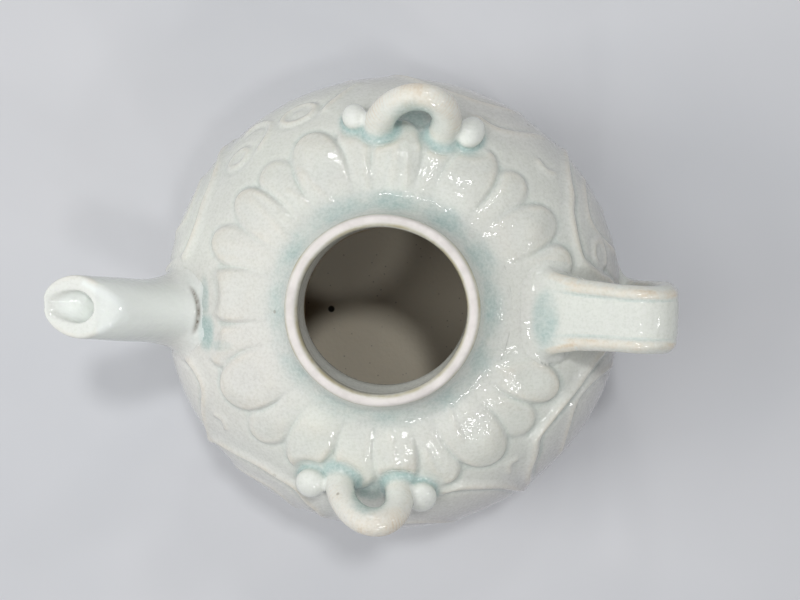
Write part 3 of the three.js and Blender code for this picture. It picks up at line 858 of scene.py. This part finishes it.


# Colour cues, the same for every piece: where glaze pools, where it runs thin, bare clay, and painted
# shade and painted light

# Where each luted piece meets the body: its field, how far its pool reaches and how strong it is
JOINTS = [(spout_field, 1.9, 0.3), (handle_field, 2.1, 0.25)]
JOINTS += [(loop.field, 2.3, 0.95) for loop in loops.values()]
JOINTS += [(pellet.field, 1.6, 0.9) for pellet in pellets.values()]
# Pools of glaze on the shoulder, each an oval seen from above: x, y, half sizes, strength
POOLS = [
    (34.6, -2.6, 3.2, 7.4, 0.6),
    (-40.9, -5.2, 2.3, 4.8, 0.8),
    (-41.3, 1.2, 1.5, 6.4, 0.55),
    (-37.2, -8.4, 3.6, 1.5, 0.45),
    (6.2, 41.6, 4.6, 3.0, 0.7),
    (-3.9, -41.3, 4.0, 2.8, 0.7),
]
POOLS_ABOVE = 55
CHUNK = 120000  # points handled at once, to keep memory small


def joint_pool(x, y, z):
    """How near a place is to the foot of a luted piece, from 0 to 1."""
    b = body_field(x, y, z)
    pool = np.zeros(np.shape(x))
    for field, reach, strength in JOINTS:
        a = field(x, y, z)
        near = bell(np.clip(a, 0, None), reach) * bell(np.clip(b, 0, None), 0.8 * reach)
        near *= bell(np.clip(-np.minimum(a, b), 0, None), 3)
        pool = np.maximum(pool, near * strength)
    return pool


def lying_pools(x, y, z):
    """How deep the glaze lies in the pools on the shoulder, from 0 to 1."""
    pool = np.zeros(np.shape(x))
    for px, py, along, across, strength in POOLS:
        far = ((x - px) / along) ** 2 + ((y - py) / across) ** 2
        pool = np.maximum(pool, strength * bell(far, 1) * (z > POOLS_ABOVE))
    return pool


def in_chunks(function, points):
    parts = [function(*points[i : i + CHUNK].T) for i in range(0, len(points), CHUNK)]
    return np.concatenate(parts)


def store(obj, name, values):
    attribute = obj.data.attributes.new(name, "FLOAT", "POINT")
    attribute.data.foreach_set("value", np.asarray(values, np.float32))


def points_of(obj):
    co = np.empty(len(obj.data.vertices) * 3, np.float32)
    obj.data.vertices.foreach_get("co", co)
    return co.reshape(-1, 3).astype(float) * 1000


def bend(field, x, y, z, e=0.7):
    """How convex a field's surface is at a place, in 1/mm."""
    total = -6 * field(x, y, z)
    for dx, dy, dz in ((e, 0, 0), (0, e, 0), (0, 0, e)):
        total = total + field(x + dx, y + dy, z + dz) + field(x - dx, y - dy, z - dz)
    return total / (e * e)


def foot_pools(points):
    return np.maximum(in_chunks(joint_pool, points), in_chunks(lying_pools, points))


def body_cues(points):
    """Pool and cream on the body's skin and on what melts into it."""
    azimuth, elevation, _ = polar(*points.T)
    hollow = sample_map(pooled, azimuth, elevation)
    away = np.hypot(points[:, 0] + 0.2, points[:, 1]) - NECK_FOOT_RADIUS + 0.9
    moat = bell(away, np.where(away < 0, 2.0, 3.7)) * (points[:, 2] > 60)
    moat *= 0.86 + 0.14 * np.cos(np.radians(12 * azimuth + 60 * np.sin(np.radians(azimuth))))
    moat *= 1.06 + 0.14 * np.cos(np.radians(azimuth - 60))
    pool = np.maximum(0.3 * np.clip(hollow, 0, 1) + 0.55 * moat, foot_pools(points))
    return np.clip(pool, 0, 1), np.clip(-0.8 * hollow, 0, 1)


def paint_body(obj):
    points = points_of(obj)
    azimuth, elevation, _ = polar(*points.T)
    z = points[:, 2]
    outside = smoothstep(in_chunks(body_field, points), -1.2, -0.6)
    pool, cream = body_cues(points)
    below_neck = smoothstep(-z, -SEAT_HEIGHT, -SEAT_HEIGHT + 2.2)
    shaded_side = 0.5 + 0.5 * np.cos(np.radians(azimuth + 45))
    store(obj, "pool", pool * outside)
    store(obj, "cream", cream * outside)
    store(obj, "inside", (1 - outside) * (0.8 + 0.2 * below_neck))
    store(obj, "pale", 0.85 * smoothstep(-z, -22, -9) * (1 - outside))
    store(obj, "bare", smoothstep(-z, -1.1, -0.5))
    # The "low" cue is painted shade: the lower belly greyed on its shaded side, with a lavender painted
    # reflection
    store(obj, "low", smoothstep(-elevation, -34, -8) * shaded_side)


def paint_luted(obj, field, sharp):
    """Cues for a luted piece, whose edges with a bend above sharp show the clay as cream."""
    points = points_of(obj)
    b = in_chunks(body_field, points)
    curve = in_chunks(lambda x, y, z: bend(field, x, y, z), points)
    proud = smoothstep(b, 0.8, 3.0)
    azimuth, elevation, _ = polar(*points.T)
    flat = np.clip(sample_map(pooled, azimuth, elevation), 0, 1) * bell(b, 0.6)
    creases = np.clip(-curve * 0.5, 0, 0.36) * proud
    thin = smoothstep(curve, sharp, sharp * 2.4) * proud
    if field is spout_field:
        thin = thin * smoothstep(in_chunks(spout_bore_field, points), 0.2, 1.2)
        thin = thin * smoothstep(points[:, 0], -74, -56)
        # The spout's "pale" cue is mostly painted light whitening the tube, plus white glaze on the V of
        # its edges
        store(obj, "pale", in_chunks(spout_white_edges_and_painted_light, points))
        store(obj, "crease", in_chunks(spout_crease, points))
    store(obj, "pool", np.clip(np.maximum(foot_pools(points), 0.3 * flat) + creases, 0, 1))
    store(obj, "cream", thin)
    store(obj, "fit", smoothstep(b, 0.05, 2.6) * (0.35 if field is handle_field else 1))
    # The "low" cue is painted shade, greying the lower parts of a luted piece
    store(obj, "low", smoothstep(-points[:, 2], -38, -18))


# Materials


def srgb(channels):
    """Linear RGBA of a colour given in the 0 to 255 steps of a picture."""
    shares = [c / 255 for c in channels]
    return tuple(c / 12.92 if c <= 0.04045 else ((c + 0.055) / 1.055) ** 2.4 for c in shares) + (1,)


# Colours in 0 to 255 steps
GLAZE = (218, 221, 212)
GLAZE_SHADE = (211, 214, 207)
FITTING = (232, 236, 229)
FITTING_SHADE = (226, 230, 223)
WARM_GREY = (217, 213, 208)
# painted shade, with a lavender tint of painted reflection
PAINTED_SHADE_GREY = (190, 187, 190)
POOL_GREEN = (151, 182, 179)
CREAM = (226, 212, 190)
TAN = (196, 166, 126)
PALE_GRAIN = (238, 240, 236)
DARK_GRAIN = (192, 196, 188)
PINHOLE = (186, 192, 184)
BROWN_SPECK = (120, 104, 84)
RIM_WIPED = (231, 226, 222)
RIM_SHADE = (218, 213, 209)
RIM_OLIVE = (186, 178, 148)
# mostly painted light on the spout's tube, and the white glaze on its V edges
SPOUT_WHITE_AND_PAINTED_LIGHT = (241, 246, 242)
CREASE_BROWN = (98, 84, 66)
OLIVE = (134, 97, 24)
OLIVE_SHADE = (112, 81, 16)
OLIVE_BROWN = (86, 64, 26)
FLOOR_PALE = (230, 223, 204)
INSIDE_SPECK = (62, 52, 36)
SPECK_BLACK = (36, 30, 22)
CLAY = (222, 208, 190)
CLAY_SHADE = (206, 190, 170)
STAGE_GREY = (206, 208, 212)
STAGE_PALE = (212, 213, 216)


class Graph:
    """Builds a material's nodes. Each method adds one node and returns its output."""

    def __init__(self, name):
        self.material = bpy.data.materials.new(name)
        self.material.use_nodes = True
        self.nodes = self.material.node_tree.nodes
        self.links = self.material.node_tree.links
        self.nodes.clear()
        self.shader = self.nodes.new("ShaderNodeBsdfPrincipled")
        self.links.new(self.shader.outputs[0], self.nodes.new("ShaderNodeOutputMaterial").inputs[0])
        self.where = self.nodes.new("ShaderNodeTexCoord").outputs["Object"]

    def add(self, kind, output, **inputs):
        node = self.nodes.new(kind)
        for key, value in inputs.items():
            self.set(node, key, value)
        return node.outputs[output]

    def set(self, node, key, value):
        if hasattr(value, "is_output"):
            self.links.new(value, node.inputs[key])
        else:
            node.inputs[key].default_value = value

    def noise(self, scale, detail=2.0, rough=0.5, distortion=0.0):
        return self.add(
            "ShaderNodeTexNoise", "Fac",
            Vector=self.where, Scale=scale, Detail=detail, Roughness=rough, Distortion=distortion,
        )

    def cells(self, scale):
        return self.add("ShaderNodeTexVoronoi", "Distance", Vector=self.where, Scale=scale)

    def distance_to(self, place):
        node = self.nodes.new("ShaderNodeVectorMath")
        node.operation = "DISTANCE"
        self.set(node, 0, self.where)
        self.set(node, 1, place)
        return node.outputs["Value"]

    def attribute(self, name):
        node = self.nodes.new("ShaderNodeAttribute")
        node.attribute_name = name
        return node.outputs["Fac"]

    def remap(self, value, a, b, c=0.0, d=1.0):
        """Runs smoothly from c, where value is a, to d, where it is b."""
        node = self.nodes.new("ShaderNodeMapRange")
        node.interpolation_type = "SMOOTHSTEP"
        for key, number in zip(("Value", "From Min", "From Max", "To Min", "To Max"), (value, a, b, c, d)):
            self.set(node, key, number)
        return node.outputs["Result"]

    def maths(self, operation, a, b, clamp=False):
        node = self.nodes.new("ShaderNodeMath")
        node.operation = operation
        node.use_clamp = clamp
        self.set(node, 0, a)
        self.set(node, 1, b)
        return node.outputs[0]

    def times(self, a, b, clamp=False):
        return self.maths("MULTIPLY", a, b, clamp)

    def plus(self, a, b, clamp=False):
        return self.maths("ADD", a, b, clamp)

    def mix(self, share, a, b):
        node = self.nodes.new("ShaderNodeMix")
        node.data_type = "RGBA"
        for socket, value in ((0, share), (6, a), (7, b)):
            self.set(node, socket, value)
        return node.outputs[2]

    def tint(self, colour, share, other):
        """The colour, turned by share towards one given in 0 to 255 steps."""
        return self.mix(share, colour, srgb(other))

    def mottled(self, share, one, other):
        """Two colours, given in 0 to 255 steps, mixed by a share that varies over the surface."""
        return self.mix(share, srgb(one), srgb(other))

    def bump(self, height, distance, strength, **normal):
        return self.add(
            "ShaderNodeBump", "Normal", Height=height, Distance=distance, Strength=strength, **normal
        )


FLOOR_SPECK = (-0.0188, -0.0032, 0.0042)  # where the larger dark speck lies, in metres


def glaze_colour(g, warm):
    """The glaze over white clay: mottled, bluish green where it pools, cream and tan where it is thin,
    with painted shade low on the pot and painted light on the spout.
    """
    pool, cream, fit, rim = (g.attribute(name) for name in ("pool", "cream", "fit", "rim"))
    cloud = g.remap(g.noise(55, 3, 0.6, 0.3), 0.35, 0.68)
    drift = g.remap(g.noise(22, 2, 0.5), 0.35, 0.65)
    fine = g.noise(1500, 3, 0.6)
    tone = g.mottled(fit, GLAZE, FITTING)
    shade = g.mottled(fit, GLAZE_SHADE, FITTING_SHADE)
    colour = g.mix(cloud, tone, shade)
    colour = g.tint(colour, g.times(drift, 0.55), WARM_GREY)
    # painted shade, with a lavender painted reflection, where the low cue is set
    colour = g.tint(colour, g.times(g.attribute("low"), 0.9), PAINTED_SHADE_GREY)
    ragged = g.times(g.plus(g.noise(240, 3, 0.6), -0.5), g.remap(pool, 0.05, 0.5, 0.0, 0.7))
    colour = g.tint(colour, g.remap(g.plus(pool, ragged, True), 0.05, 1.0, 0.0, 0.92), POOL_GREEN)
    cream_share = g.times(cream, g.remap(g.noise(180, 3, 0.6), 0.3, 0.65, 0.25, 1.0))
    colour = g.tint(colour, g.times(cream_share, warm, True), CREAM)
    colour = g.tint(colour, g.times(g.remap(cream_share, 0.72, 1.1, 0.0, 0.5), warm, True), TAN)
    colour = g.tint(colour, g.remap(fine, 0.3, 0.7, 0.0, 0.3), PALE_GRAIN)
    colour = g.tint(colour, g.remap(fine, 0.5, 0.3, 0.0, 0.16), DARK_GRAIN)
    colour = g.tint(colour, g.remap(g.noise(2600, 1, 0.5), 0.62, 0.8, 0.0, 0.16), PINHOLE)
    speck = g.times(g.remap(g.cells(95), 0.055, 0.035), g.remap(g.noise(30, 1, 0.5), 0.58, 0.66))
    colour = g.tint(colour, g.times(speck, 0.5), BROWN_SPECK)
    wiped = g.mottled(g.remap(g.noise(260, 3, 0.6), 0.35, 0.7), RIM_WIPED, RIM_SHADE)
    colour = g.mix(rim, colour, wiped)
    wander = g.times(g.attribute("tan"), g.remap(g.noise(160, 3, 0.65), 0.3, 0.68, 0.3, 1.0))
    colour = g.tint(colour, wander, RIM_OLIVE)
    # whitening from the pale cue: on the spout mostly painted light, with white glaze on the V of its
    # edges
    colour = g.tint(colour, g.attribute("pale"), SPOUT_WHITE_AND_PAINTED_LIGHT)
    return g.tint(colour, g.times(g.attribute("crease"), 0.95), CREASE_BROWN)


def inside_colour(g):
    """The dim inside: olive walls, and a paler floor with small specks and one larger one."""
    wall = g.mottled(g.remap(g.noise(45, 4, 0.6), 0.35, 0.65), OLIVE, OLIVE_SHADE)
    wall = g.tint(wall, g.remap(g.noise(700, 2, 0.6), 0.55, 0.75), OLIVE_BROWN)
    wall = g.tint(wall, g.attribute("pale"), FLOOR_PALE)
    wall = g.tint(wall, g.remap(g.cells(380), 0.11, 0.06, 0.0, 0.35), INSIDE_SPECK)
    return g.tint(wall, g.remap(g.distance_to(FLOOR_SPECK), 0.0011, 0.0007), SPECK_BLACK)


def glaze_material(name, warm):
    """The pot's glaze, where warm says how strongly its thin edges show the clay."""
    g = Graph(name)
    inside, bare, rim = (g.attribute(key) for key in ("inside", "bare", "rim"))
    colour = g.mix(inside, glaze_colour(g, warm), inside_colour(g))
    colour = g.mix(bare, colour, g.mottled(g.noise(300, 4, 0.6), CLAY, CLAY_SHADE))
    gloss = g.remap(g.noise(130, 3, 0.6), 0.3, 0.7, 0.03, 0.11)
    for matt, more in ((inside, 0.4), (rim, 0.25), (bare, 0.5)):
        gloss = g.plus(gloss, g.times(matt, more), True)
    ripple = g.bump(g.noise(420, 2, 0.5), 0.00019, 0.6)
    ripple = g.bump(g.noise(1000, 1, 0.5), 0.00008, 0.7, Normal=ripple)
    for key, value in (
        ("Base Color", colour),
        ("Roughness", gloss),
        ("IOR", 1.52),
        ("Subsurface Weight", 0.08),
        ("Subsurface Radius", (1.0, 1.1, 0.9)),
        ("Subsurface Scale", 0.0012),
        ("Normal", ripple),
    ):
        g.set(g.shader, key, value)
    return g.material


body_glaze = glaze_material("body_glaze", 0.45)
fitting_glaze = glaze_material("fitting_glaze", 0.8)
rim_glaze = glaze_material("rim_glaze", 0.45)


# Body shells, built ring by ring

FINE = 1080  # points round a ring that shows relief
COARSE = 270
UPPER_ROWS = 160
LOWER_ROWS = 110
INNER_ROWS = 30
HOLE_SIDES = 48


def round_turn(count):
    """Angles of count places evenly round a circle, in radians."""
    return np.arange(count) * 2 * math.pi / count


def build_rings(name, rings, materials, closed=False):
    """A skin over rings of points whose count may change by a whole factor from one to the next."""
    starts = np.cumsum([0] + [len(r) for r in rings])
    faces = []
    pairs = list(zip(range(len(rings) - 1), range(1, len(rings))))
    if closed:
        pairs.append((len(rings) - 1, 0))
    for lower, upper in pairs:
        a, b = starts[lower], starts[upper]
        n, m = len(rings[lower]), len(rings[upper])
        if n == m:
            j = np.arange(n)
            k = (j + 1) % n
            faces.extend(np.stack([a + j, a + k, b + k, b + j], 1).tolist())
            continue
        many, few = (a, b) if n > m else (b, a)
        count, most = min(n, m), max(n, m)
        times = most // count
        fans = []
        for i in range(count):
            after = few + (i + 1) % count
            for t in range(times):
                j = i * times + t
                fans.append([many + j, many + (j + 1) % most, few + i if t < times // 2 else after])
            if count > 1:
                fans.append([many + i * times + times // 2, after, few + i])
        faces.extend(fans if n > m else [face[::-1] for face in fans])
    return make_mesh(name, np.vstack(rings), faces, materials)


def outer_ring(elevation, count=FINE):
    """A ring on the body's surface with its relief."""
    azimuth = np.arange(count) * 360 / count
    height = sample_map(relief, azimuth, np.full(count, elevation))
    r, z = body_point(np.full(count, elevation), height)
    a = np.radians(azimuth)
    return np.stack([r * np.cos(a), r * np.sin(a) * OVAL, z], 1)


def plain_ring(r, z, count=COARSE):
    a = round_turn(count)
    return np.stack([r * np.cos(a), r * np.sin(a) * OVAL, np.full(count, float(z))], 1)


def by_arc(low, high, count):
    """Elevations from low to high that lie evenly along the profile."""
    return np.interp(np.linspace(arc_at(low), arc_at(high), count), map_arc, map_el)


def upper_body():
    """The upper half, from the seam up the outside to the neck, and down the inside."""
    rings = [outer_ring(e) for e in by_arc(0, SEAT_ELEVATION, UPPER_ROWS)]
    rings[0][:, 2] = BELLY_HEIGHT
    rings[-1][:, 2] = SEAT_HEIGHT
    ceiling = elevation_where(lambda e: body_point(e, -WALL)[0] > NECK_BORE, 0, 89)
    rings.append(plain_ring(NECK_BORE + 0.3, SEAT_HEIGHT))
    rings.append(plain_ring(NECK_BORE, SEAT_HEIGHT - 0.4))
    rings.extend(plain_ring(*body_point(e, -WALL)) for e in np.linspace(ceiling, 0, INNER_ROWS))
    return build_rings("upper_body_glazed", rings, [body_glaze], closed=True)


def lower_body():
    """The lower half, from the foot up the outside, and down the inside to a wavy floor."""
    foot_edge = FOOT_RADIUS - FOOT_BEVEL
    rings = [np.zeros((1, 3)), plain_ring(15, 0), plain_ring(27, 0)]
    rings.append(plain_ring(foot_edge - 0.4, 0, FINE))
    rings.append(plain_ring(foot_edge + 0.1, 0.15, FINE))
    rings.extend(outer_ring(e) for e in by_arc(FOOT_ELEVATION, 0, LOWER_ROWS))
    rings[-1][:, 2] = BELLY_HEIGHT
    floor_elevation = elevation_where(lambda e: body_point(e, -WALL)[1] < FLOOR, -89, 0)
    rings.extend(plain_ring(*body_point(e, -WALL)) for e in np.linspace(0, floor_elevation, INNER_ROWS))
    floor_radius = rings[-1][0, 0]
    turn = round_turn(COARSE)
    for share in (0.93, 0.8, 0.6, 0.4, 0.2):
        ring = plain_ring(floor_radius * share, FLOOR)
        ring[:, 2] += 0.25 * np.sin(3 * turn + 9 * share)
        rings.append(ring)
    rings.append(np.array([[0, 0, FLOOR]]))
    return build_rings("lower_body_glazed", rings, [body_glaze])


def pierce(obj):
    """Opens the wall behind the spout with a round hole along the spout's root."""
    ca, sa = cosine(SPOUT_AZIMUTH), sine(SPOUT_AZIMUTH)
    radial = np.array([ca, sa, 0])
    side = np.array([-sa, ca, 0])
    along = radial * root_way[0] + np.array([0, 0, root_way[1]])
    out = np.cross(side, along)
    start = radial * root_r + np.array([0, 0, root_z])
    turn = round_turn(HOLE_SIDES)
    circle = BORE_RADIUS * (np.outer(np.cos(turn), out) + np.outer(np.sin(turn), side))
    rings = [start + along * distance + circle for distance in (-8.0, -4.0, 0.0, 4.0)]
    rings = [rings[0].mean(0, keepdims=True)] + rings + [rings[-1].mean(0, keepdims=True)]
    cutter = build_rings("cutter", rings, [])
    modifier = obj.modifiers.new("hole", "BOOLEAN")
    modifier.operation = "DIFFERENCE"
    modifier.solver = "MANIFOLD"
    modifier.object = cutter
    graph = bpy.context.evaluated_depsgraph_get()
    pierced = bpy.data.meshes.new_from_object(obj.evaluated_get(graph))
    obj.modifiers.clear()
    obj.data = pierced
    bpy.data.objects.remove(cutter)


# Neck ring, built ring by ring round its section

NECK_COUNT = 720
RIM_INSIDE = NECK_BORE + 0.05
RIM_OUTSIDE = NECK_OUTSIDE + 0.3
RIM_MIDDLE = (RIM_INSIDE + RIM_OUTSIDE) / 2
RIM_HALF = (RIM_OUTSIDE - RIM_INSIDE) / 2
RIM_ROUND = 1.55  # half the height of the rounded rim
FILLET_CENTRE = (NECK_FOOT_RADIUS + 4.2, SEAT_HEIGHT + 6.6)  # radius and height
FILLET_ANGLES = np.linspace(268, 182, 30)
FILLET_FAR = 11.0  # the longest ray from the fillet's centre
HALVINGS = 34
NECK_HEM = 0.5  # how far the skin runs down into the body


def neck_foot(ca, sa):
    """Rows up the fillet at the neck's foot, found along rays from a centre outside it."""
    centre_r, centre_z = FILLET_CENTRE
    rows = []
    for angle in FILLET_ANGLES:
        dr, dz = cosine(angle), sine(angle)
        low = np.zeros(NECK_COUNT)
        high = np.full(NECK_COUNT, FILLET_FAR)
        for _ in range(HALVINGS):
            middle = (low + high) / 2
            r = centre_r + middle * dr
            place = (r * ca, r * sa, centre_z + middle * dz)
            outside = melt(body_field(*place), neck_wall_field(*place), NECK_FILLET) > 0
            low = np.where(outside, middle, low)
            high = np.where(outside, high, middle)
        r = centre_r + low * dr
        rows.append(np.stack([r * ca, r * sa, centre_z + low * dz], 1))
    return rows


def neck_ring():
    """The neck, whose foot melts into the shoulder, with its rounded rim and its bore."""
    a = round_turn(NECK_COUNT)
    ca, sa = np.cos(a), np.sin(a)

    def oval_ring(r, z):
        up = neck_rise(z)
        wave = 0.06 * np.sin(3 * a + 1.0) + 0.04 * np.sin(7 * a + 2.0)
        lift = 0.05 * np.sin(2 * a + 0.5) + 0.03 * np.sin(5 * a)
        lift = lift * smoothstep(z, RIM_HEIGHT - 2.5, RIM_HEIGHT) - 0.04
        radius = r + wave * smoothstep(z, RIM_HEIGHT - 4, RIM_HEIGHT - 1)
        return np.stack([radius * ca - NECK_SHIFT * up, radius * sa * (1 - NECK_OVAL * up), z + lift], 1)

    foot = neck_foot(ca, sa)
    hem = foot[0] - (0, 0, NECK_HEM)
    rings = [hem] + foot
    top_of_fillet = float(foot[-1][:, 2].mean())
    for t in np.linspace(0.12, 0.9, 6):
        rings.append(oval_ring(NECK_OUTSIDE, between(top_of_fillet, RIM_HEIGHT - 2.2, t)))
    for angle in np.linspace(-25, 205, 34):
        x = math.copysign(abs(cosine(angle)) ** 0.85, cosine(angle))
        y = math.copysign(abs(sine(angle)) ** 0.8, sine(angle))
        rings.append(oval_ring(RIM_MIDDLE + RIM_HALF * x, RIM_HEIGHT - RIM_ROUND + RIM_ROUND * y))
    narrowing = 0.25 + 1.35 * np.clip(-sa, 0, 1) ** 1.5
    for z in np.linspace(RIM_HEIGHT - 2.6, SEAT_HEIGHT + 0.02, 12):
        down = smoothstep(RIM_HEIGHT - z, 1.6, 7.5)
        rings.append(oval_ring(NECK_BORE + 0.1 - narrowing * down, z))
    rings.append(oval_ring(NECK_FOOT_RADIUS - 1.0, SEAT_HEIGHT + 0.02))
    return build_rings("neck_ring_glazed", rings, [rim_glaze], closed=True)


def paint_neck(obj):
    """Cues for the neck: its wiped rim, the tan line round it, the bore and the moat's pool."""
    points = points_of(obj)
    z = points[:, 2]
    r = np.hypot(points[:, 0] + NECK_SHIFT * neck_rise(z), points[:, 1])
    ring_at = np.abs(r - RIM_MIDDLE) / RIM_HALF
    bore = smoothstep(-r, -(NECK_BORE + 0.35), -(NECK_BORE + 0.12))
    bore = bore * smoothstep(-z, 1.0 - RIM_HEIGHT, 2.4 - RIM_HEIGHT)
    top = smoothstep(z, RIM_HEIGHT - 1.6, RIM_HEIGHT - 0.55)
    pool, cream = body_cues(points)
    foot = 1 - smoothstep(in_chunks(body_field, points), 0.3, 1.2)
    store(obj, "rim", top * bell(ring_at, 0.72, 4))
    store(obj, "tan", bell(ring_at - 0.9, 0.26) * smoothstep(z, RIM_HEIGHT - 3.2, RIM_HEIGHT - 1.2))
    store(obj, "pool", pool * (1 - top) * (1 - bore))
    store(obj, "cream", cream * foot * (1 - bore))
    store(obj, "inside", 0.05 * bore)


# Luted pieces, skinned from their fields

HEM_DEPTH = 0.35  # how far a luted piece reaches into the body, so that no gap shows
HEM_DIP = 0.055  # how far its outermost edge dips into the body
HEM_SHARE = 0.97  # where it ends, as a share of how wide it melts
SETTLED_SHARE = 0.95  # vertices nearer than this are moved onto the exact surface
SETTLED_DEPTH = 0.16  # and which lie no deeper in the body than this
COIL_MELT = 1.2  # how wide a loop's coil melts into the body under a pellet
CREASE_DEPTH = 0.3
SLAB = 16  # grid planes worked out at once


def finish_piece(obj, node):
    """Hides the CAD node that the piece replaces, and attaches the piece to the root."""
    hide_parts(node)
    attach(obj, "root")


def box_around(node, grow):
    """The CAD node's box in millimetres, grown on every side."""
    lo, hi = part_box(node)
    return np.array(lo) * 1000 - grow, np.array(hi) * 1000 + grow


def luted(node, field, reach, grow, step, sharp, other=None, bore=None, bore_edge=None, crease=None):
    """A piece where the field melts into the body and into another field, less its bore.

    Its grid has the given step and runs past the CAD node's box by grow.
    """
    span = reach if callable(reach) else lambda x, y, z: reach

    def base(x, y, z):
        ground = body_field(x, y, z)
        return ground if other is None else melt(ground, other(x, y, z), COIL_MELT)

    def skin(ground, own, wide, x, y, z):
        shape = melt(ground, own, wide) + HEM_DIP * smoothstep(own / wide, 0.7, 0.94)
        return shape if bore is None else soft_cut(shape, bore(x, y, z), bore_edge)

    def creased(x, y, z):
        shape = skin(base(x, y, z), field(x, y, z), span(x, y, z), x, y, z)
        return shape if crease is None else shape + CREASE_DEPTH * crease(x, y, z)

    def solid(x, y, z):
        ground, own, wide = base(x, y, z), field(x, y, z), span(x, y, z)
        shape = skin(ground, own, wide, x, y, z)
        return np.maximum(np.maximum(shape, -(ground + HEM_DEPTH)), own - wide * HEM_SHARE)

    lo, hi = box_around(node, grow)
    axes = [np.arange(low, high + step, step) for low, high in zip(lo, hi)]
    gx, gy, gz = np.meshgrid(*axes, indexing="ij")
    values = np.empty(gx.shape)
    for i in range(0, gx.shape[0], SLAB):
        part = slice(i, i + SLAB)
        values[part] = solid(gx[part], gy[part], gz[part])
    verts, quads = surface_net(values, lo, step)
    near = in_chunks(lambda x, y, z: field(x, y, z) - SETTLED_SHARE * span(x, y, z), verts) < 0
    on_top = near & (in_chunks(base, verts) > -SETTLED_DEPTH)
    verts = np.where(on_top[:, None], settle(verts, creased), verts)
    obj = make_mesh(f"{node}_glazed", verts, quads, [fitting_glaze])
    paint_luted(obj, field, sharp)
    finish_piece(obj, node)


# The pieces

SHARP_ANGLE = math.radians(50)

top = upper_body()
pierce(top)
bottom = lower_body()
for half, node in ((top, "upper_body"), (bottom, "lower_body")):
    paint_body(half)
    half.data.set_sharp_from_angle(angle=SHARP_ANGLE)
    finish_piece(half, node)

neck = neck_ring()
paint_neck(neck)
finish_piece(neck, "neck_ring")

luted(
    "spout", spout_field, spout_reach, grow=3.5, step=0.36, sharp=0.35,
    bore=spout_bore_field, bore_edge=0.55, crease=spout_crease,
)
luted("handle", handle_field, handle_reach, grow=4.5, step=0.36, sharp=0.28)
for key, loop in loops.items():
    luted(f"{key}_cord_loop", loop.field, 2.3, grow=3.0, step=0.27, sharp=0.21)
for key, pellet in pellets.items():
    coil = loops[pellet.loop].field
    luted(f"{key}_pellet", pellet.field, 1.5, grow=2.4, step=0.22, sharp=0.75, other=coil)

# Stage, from here on in metres: a plain pale floor, soft studio light and the photograph's camera

FLOOR_HALF = 1.6
LIT_PLACE = Vector((0, 0, 0.06))
# Azimuth, zenith angle, distance, size and power. These soft lamps show in no reflection.
SOFT_LAMPS = {
    "near": (176, 19, 0.41, 0.2, 0.455),
    "lamp_back": (65.6, 18.2, 1.1, 0.1, 2.8),
    "lamp_front": (-49, 17.5, 1.1, 0.1, 0.75),
    "left": (182, 56, 1.3, 0.6, 5.85),
}
# Small lamps that make the glaze's highlights: azimuth, zenith angle and power
GLINTS = {
    "glint_back": (65.6, 18.2, 0.6),
    "glint_front": (-49, 17.5, 0.54),
    "window_right": (-6, 52, 0.3),
    "window_back_left": (92, 46, 0.6),
    "window_back_right": (64, 45, 0.48),
    "window_front_left": (-80, 48, 0.6),
    "window_front_right": (-48, 44, 0.54),
    "window_front_middle": (-60, 39, 0.336),
    "window_front_far": (-33, 42, 0.336),
    "window_back_middle": (76, 40, 0.36),
}
GLINT_DISTANCE = 1.2
GLINT_SIZE = 0.08
SKY_COLOUR = (0.9, 0.9, 0.95, 1)
SKY_STRENGTH = 0.098
PICTURE_WIDTH = 800  # pixels
SENSOR_WIDTH = 36  # millimetres
FOCAL_LENGTH = 1150  # pixels
CAMERA_PLACE = (0.014, 0.012, 0.321)
CAMERA_WAY = (-50, -46.2, -1150)


def link(obj):
    bpy.context.scene.collection.objects.link(obj)
    return obj


def floor():
    size = FLOOR_HALF
    mesh = bpy.data.meshes.new("floor")
    corners = [(-size, -size, 0), (size, -size, 0), (size, size, 0), (-size, size, 0)]
    mesh.from_pydata(corners, [], [(0, 1, 2, 3)])
    obj = link(bpy.data.objects.new("floor", mesh))
    g = Graph("floor")
    mottle = g.remap(g.noise(9, 3, 0.5), 0.3, 0.7)
    g.set(g.shader, "Base Color", g.mottled(mottle, STAGE_GREY, STAGE_PALE))
    g.set(g.shader, "Roughness", 0.75)
    mesh.materials.append(g.material)


def area_light(name, azimuth, zenith, distance, size, power):
    light = bpy.data.lights.new(name, "AREA")
    light.size = size
    light.energy = power
    obj = link(bpy.data.objects.new(name, light))
    flat = sine(zenith)
    way = Vector((flat * cosine(azimuth), flat * sine(azimuth), cosine(zenith)))
    obj.location = LIT_PLACE + way * distance
    obj.rotation_mode = "QUATERNION"
    obj.rotation_quaternion = way.to_track_quat("Z", "Y")
    return obj


floor()
for name, lamp in SOFT_LAMPS.items():
    area_light(name, *lamp).visible_glossy = False
for name, (azimuth, zenith, power) in GLINTS.items():
    area_light(name, azimuth, zenith, GLINT_DISTANCE, GLINT_SIZE, power)

world = bpy.data.worlds.new("studio")
world.use_nodes = True
sky = world.node_tree.nodes["Background"].inputs
sky["Color"].default_value = SKY_COLOUR
sky["Strength"].default_value = SKY_STRENGTH
bpy.context.scene.world = world
bpy.context.scene.view_settings.view_transform = "Standard"

camera = bpy.data.cameras.new("camera")
camera.sensor_width = SENSOR_WIDTH
camera.lens = FOCAL_LENGTH / PICTURE_WIDTH * SENSOR_WIDTH
camera.clip_start = 0.01
forward = Vector(CAMERA_WAY).normalized()
right = (Vector((1, 0, 0)) - forward * forward.x).normalized()
up = right.cross(forward)
viewer = link(bpy.data.objects.new("camera", camera))
axes = Matrix((right, up, -forward)).transposed().to_4x4()
viewer.matrix_world = Matrix.Translation(CAMERA_PLACE) @ axes
bpy.context.scene.camera = viewer

bpy.context.view_layer.update()
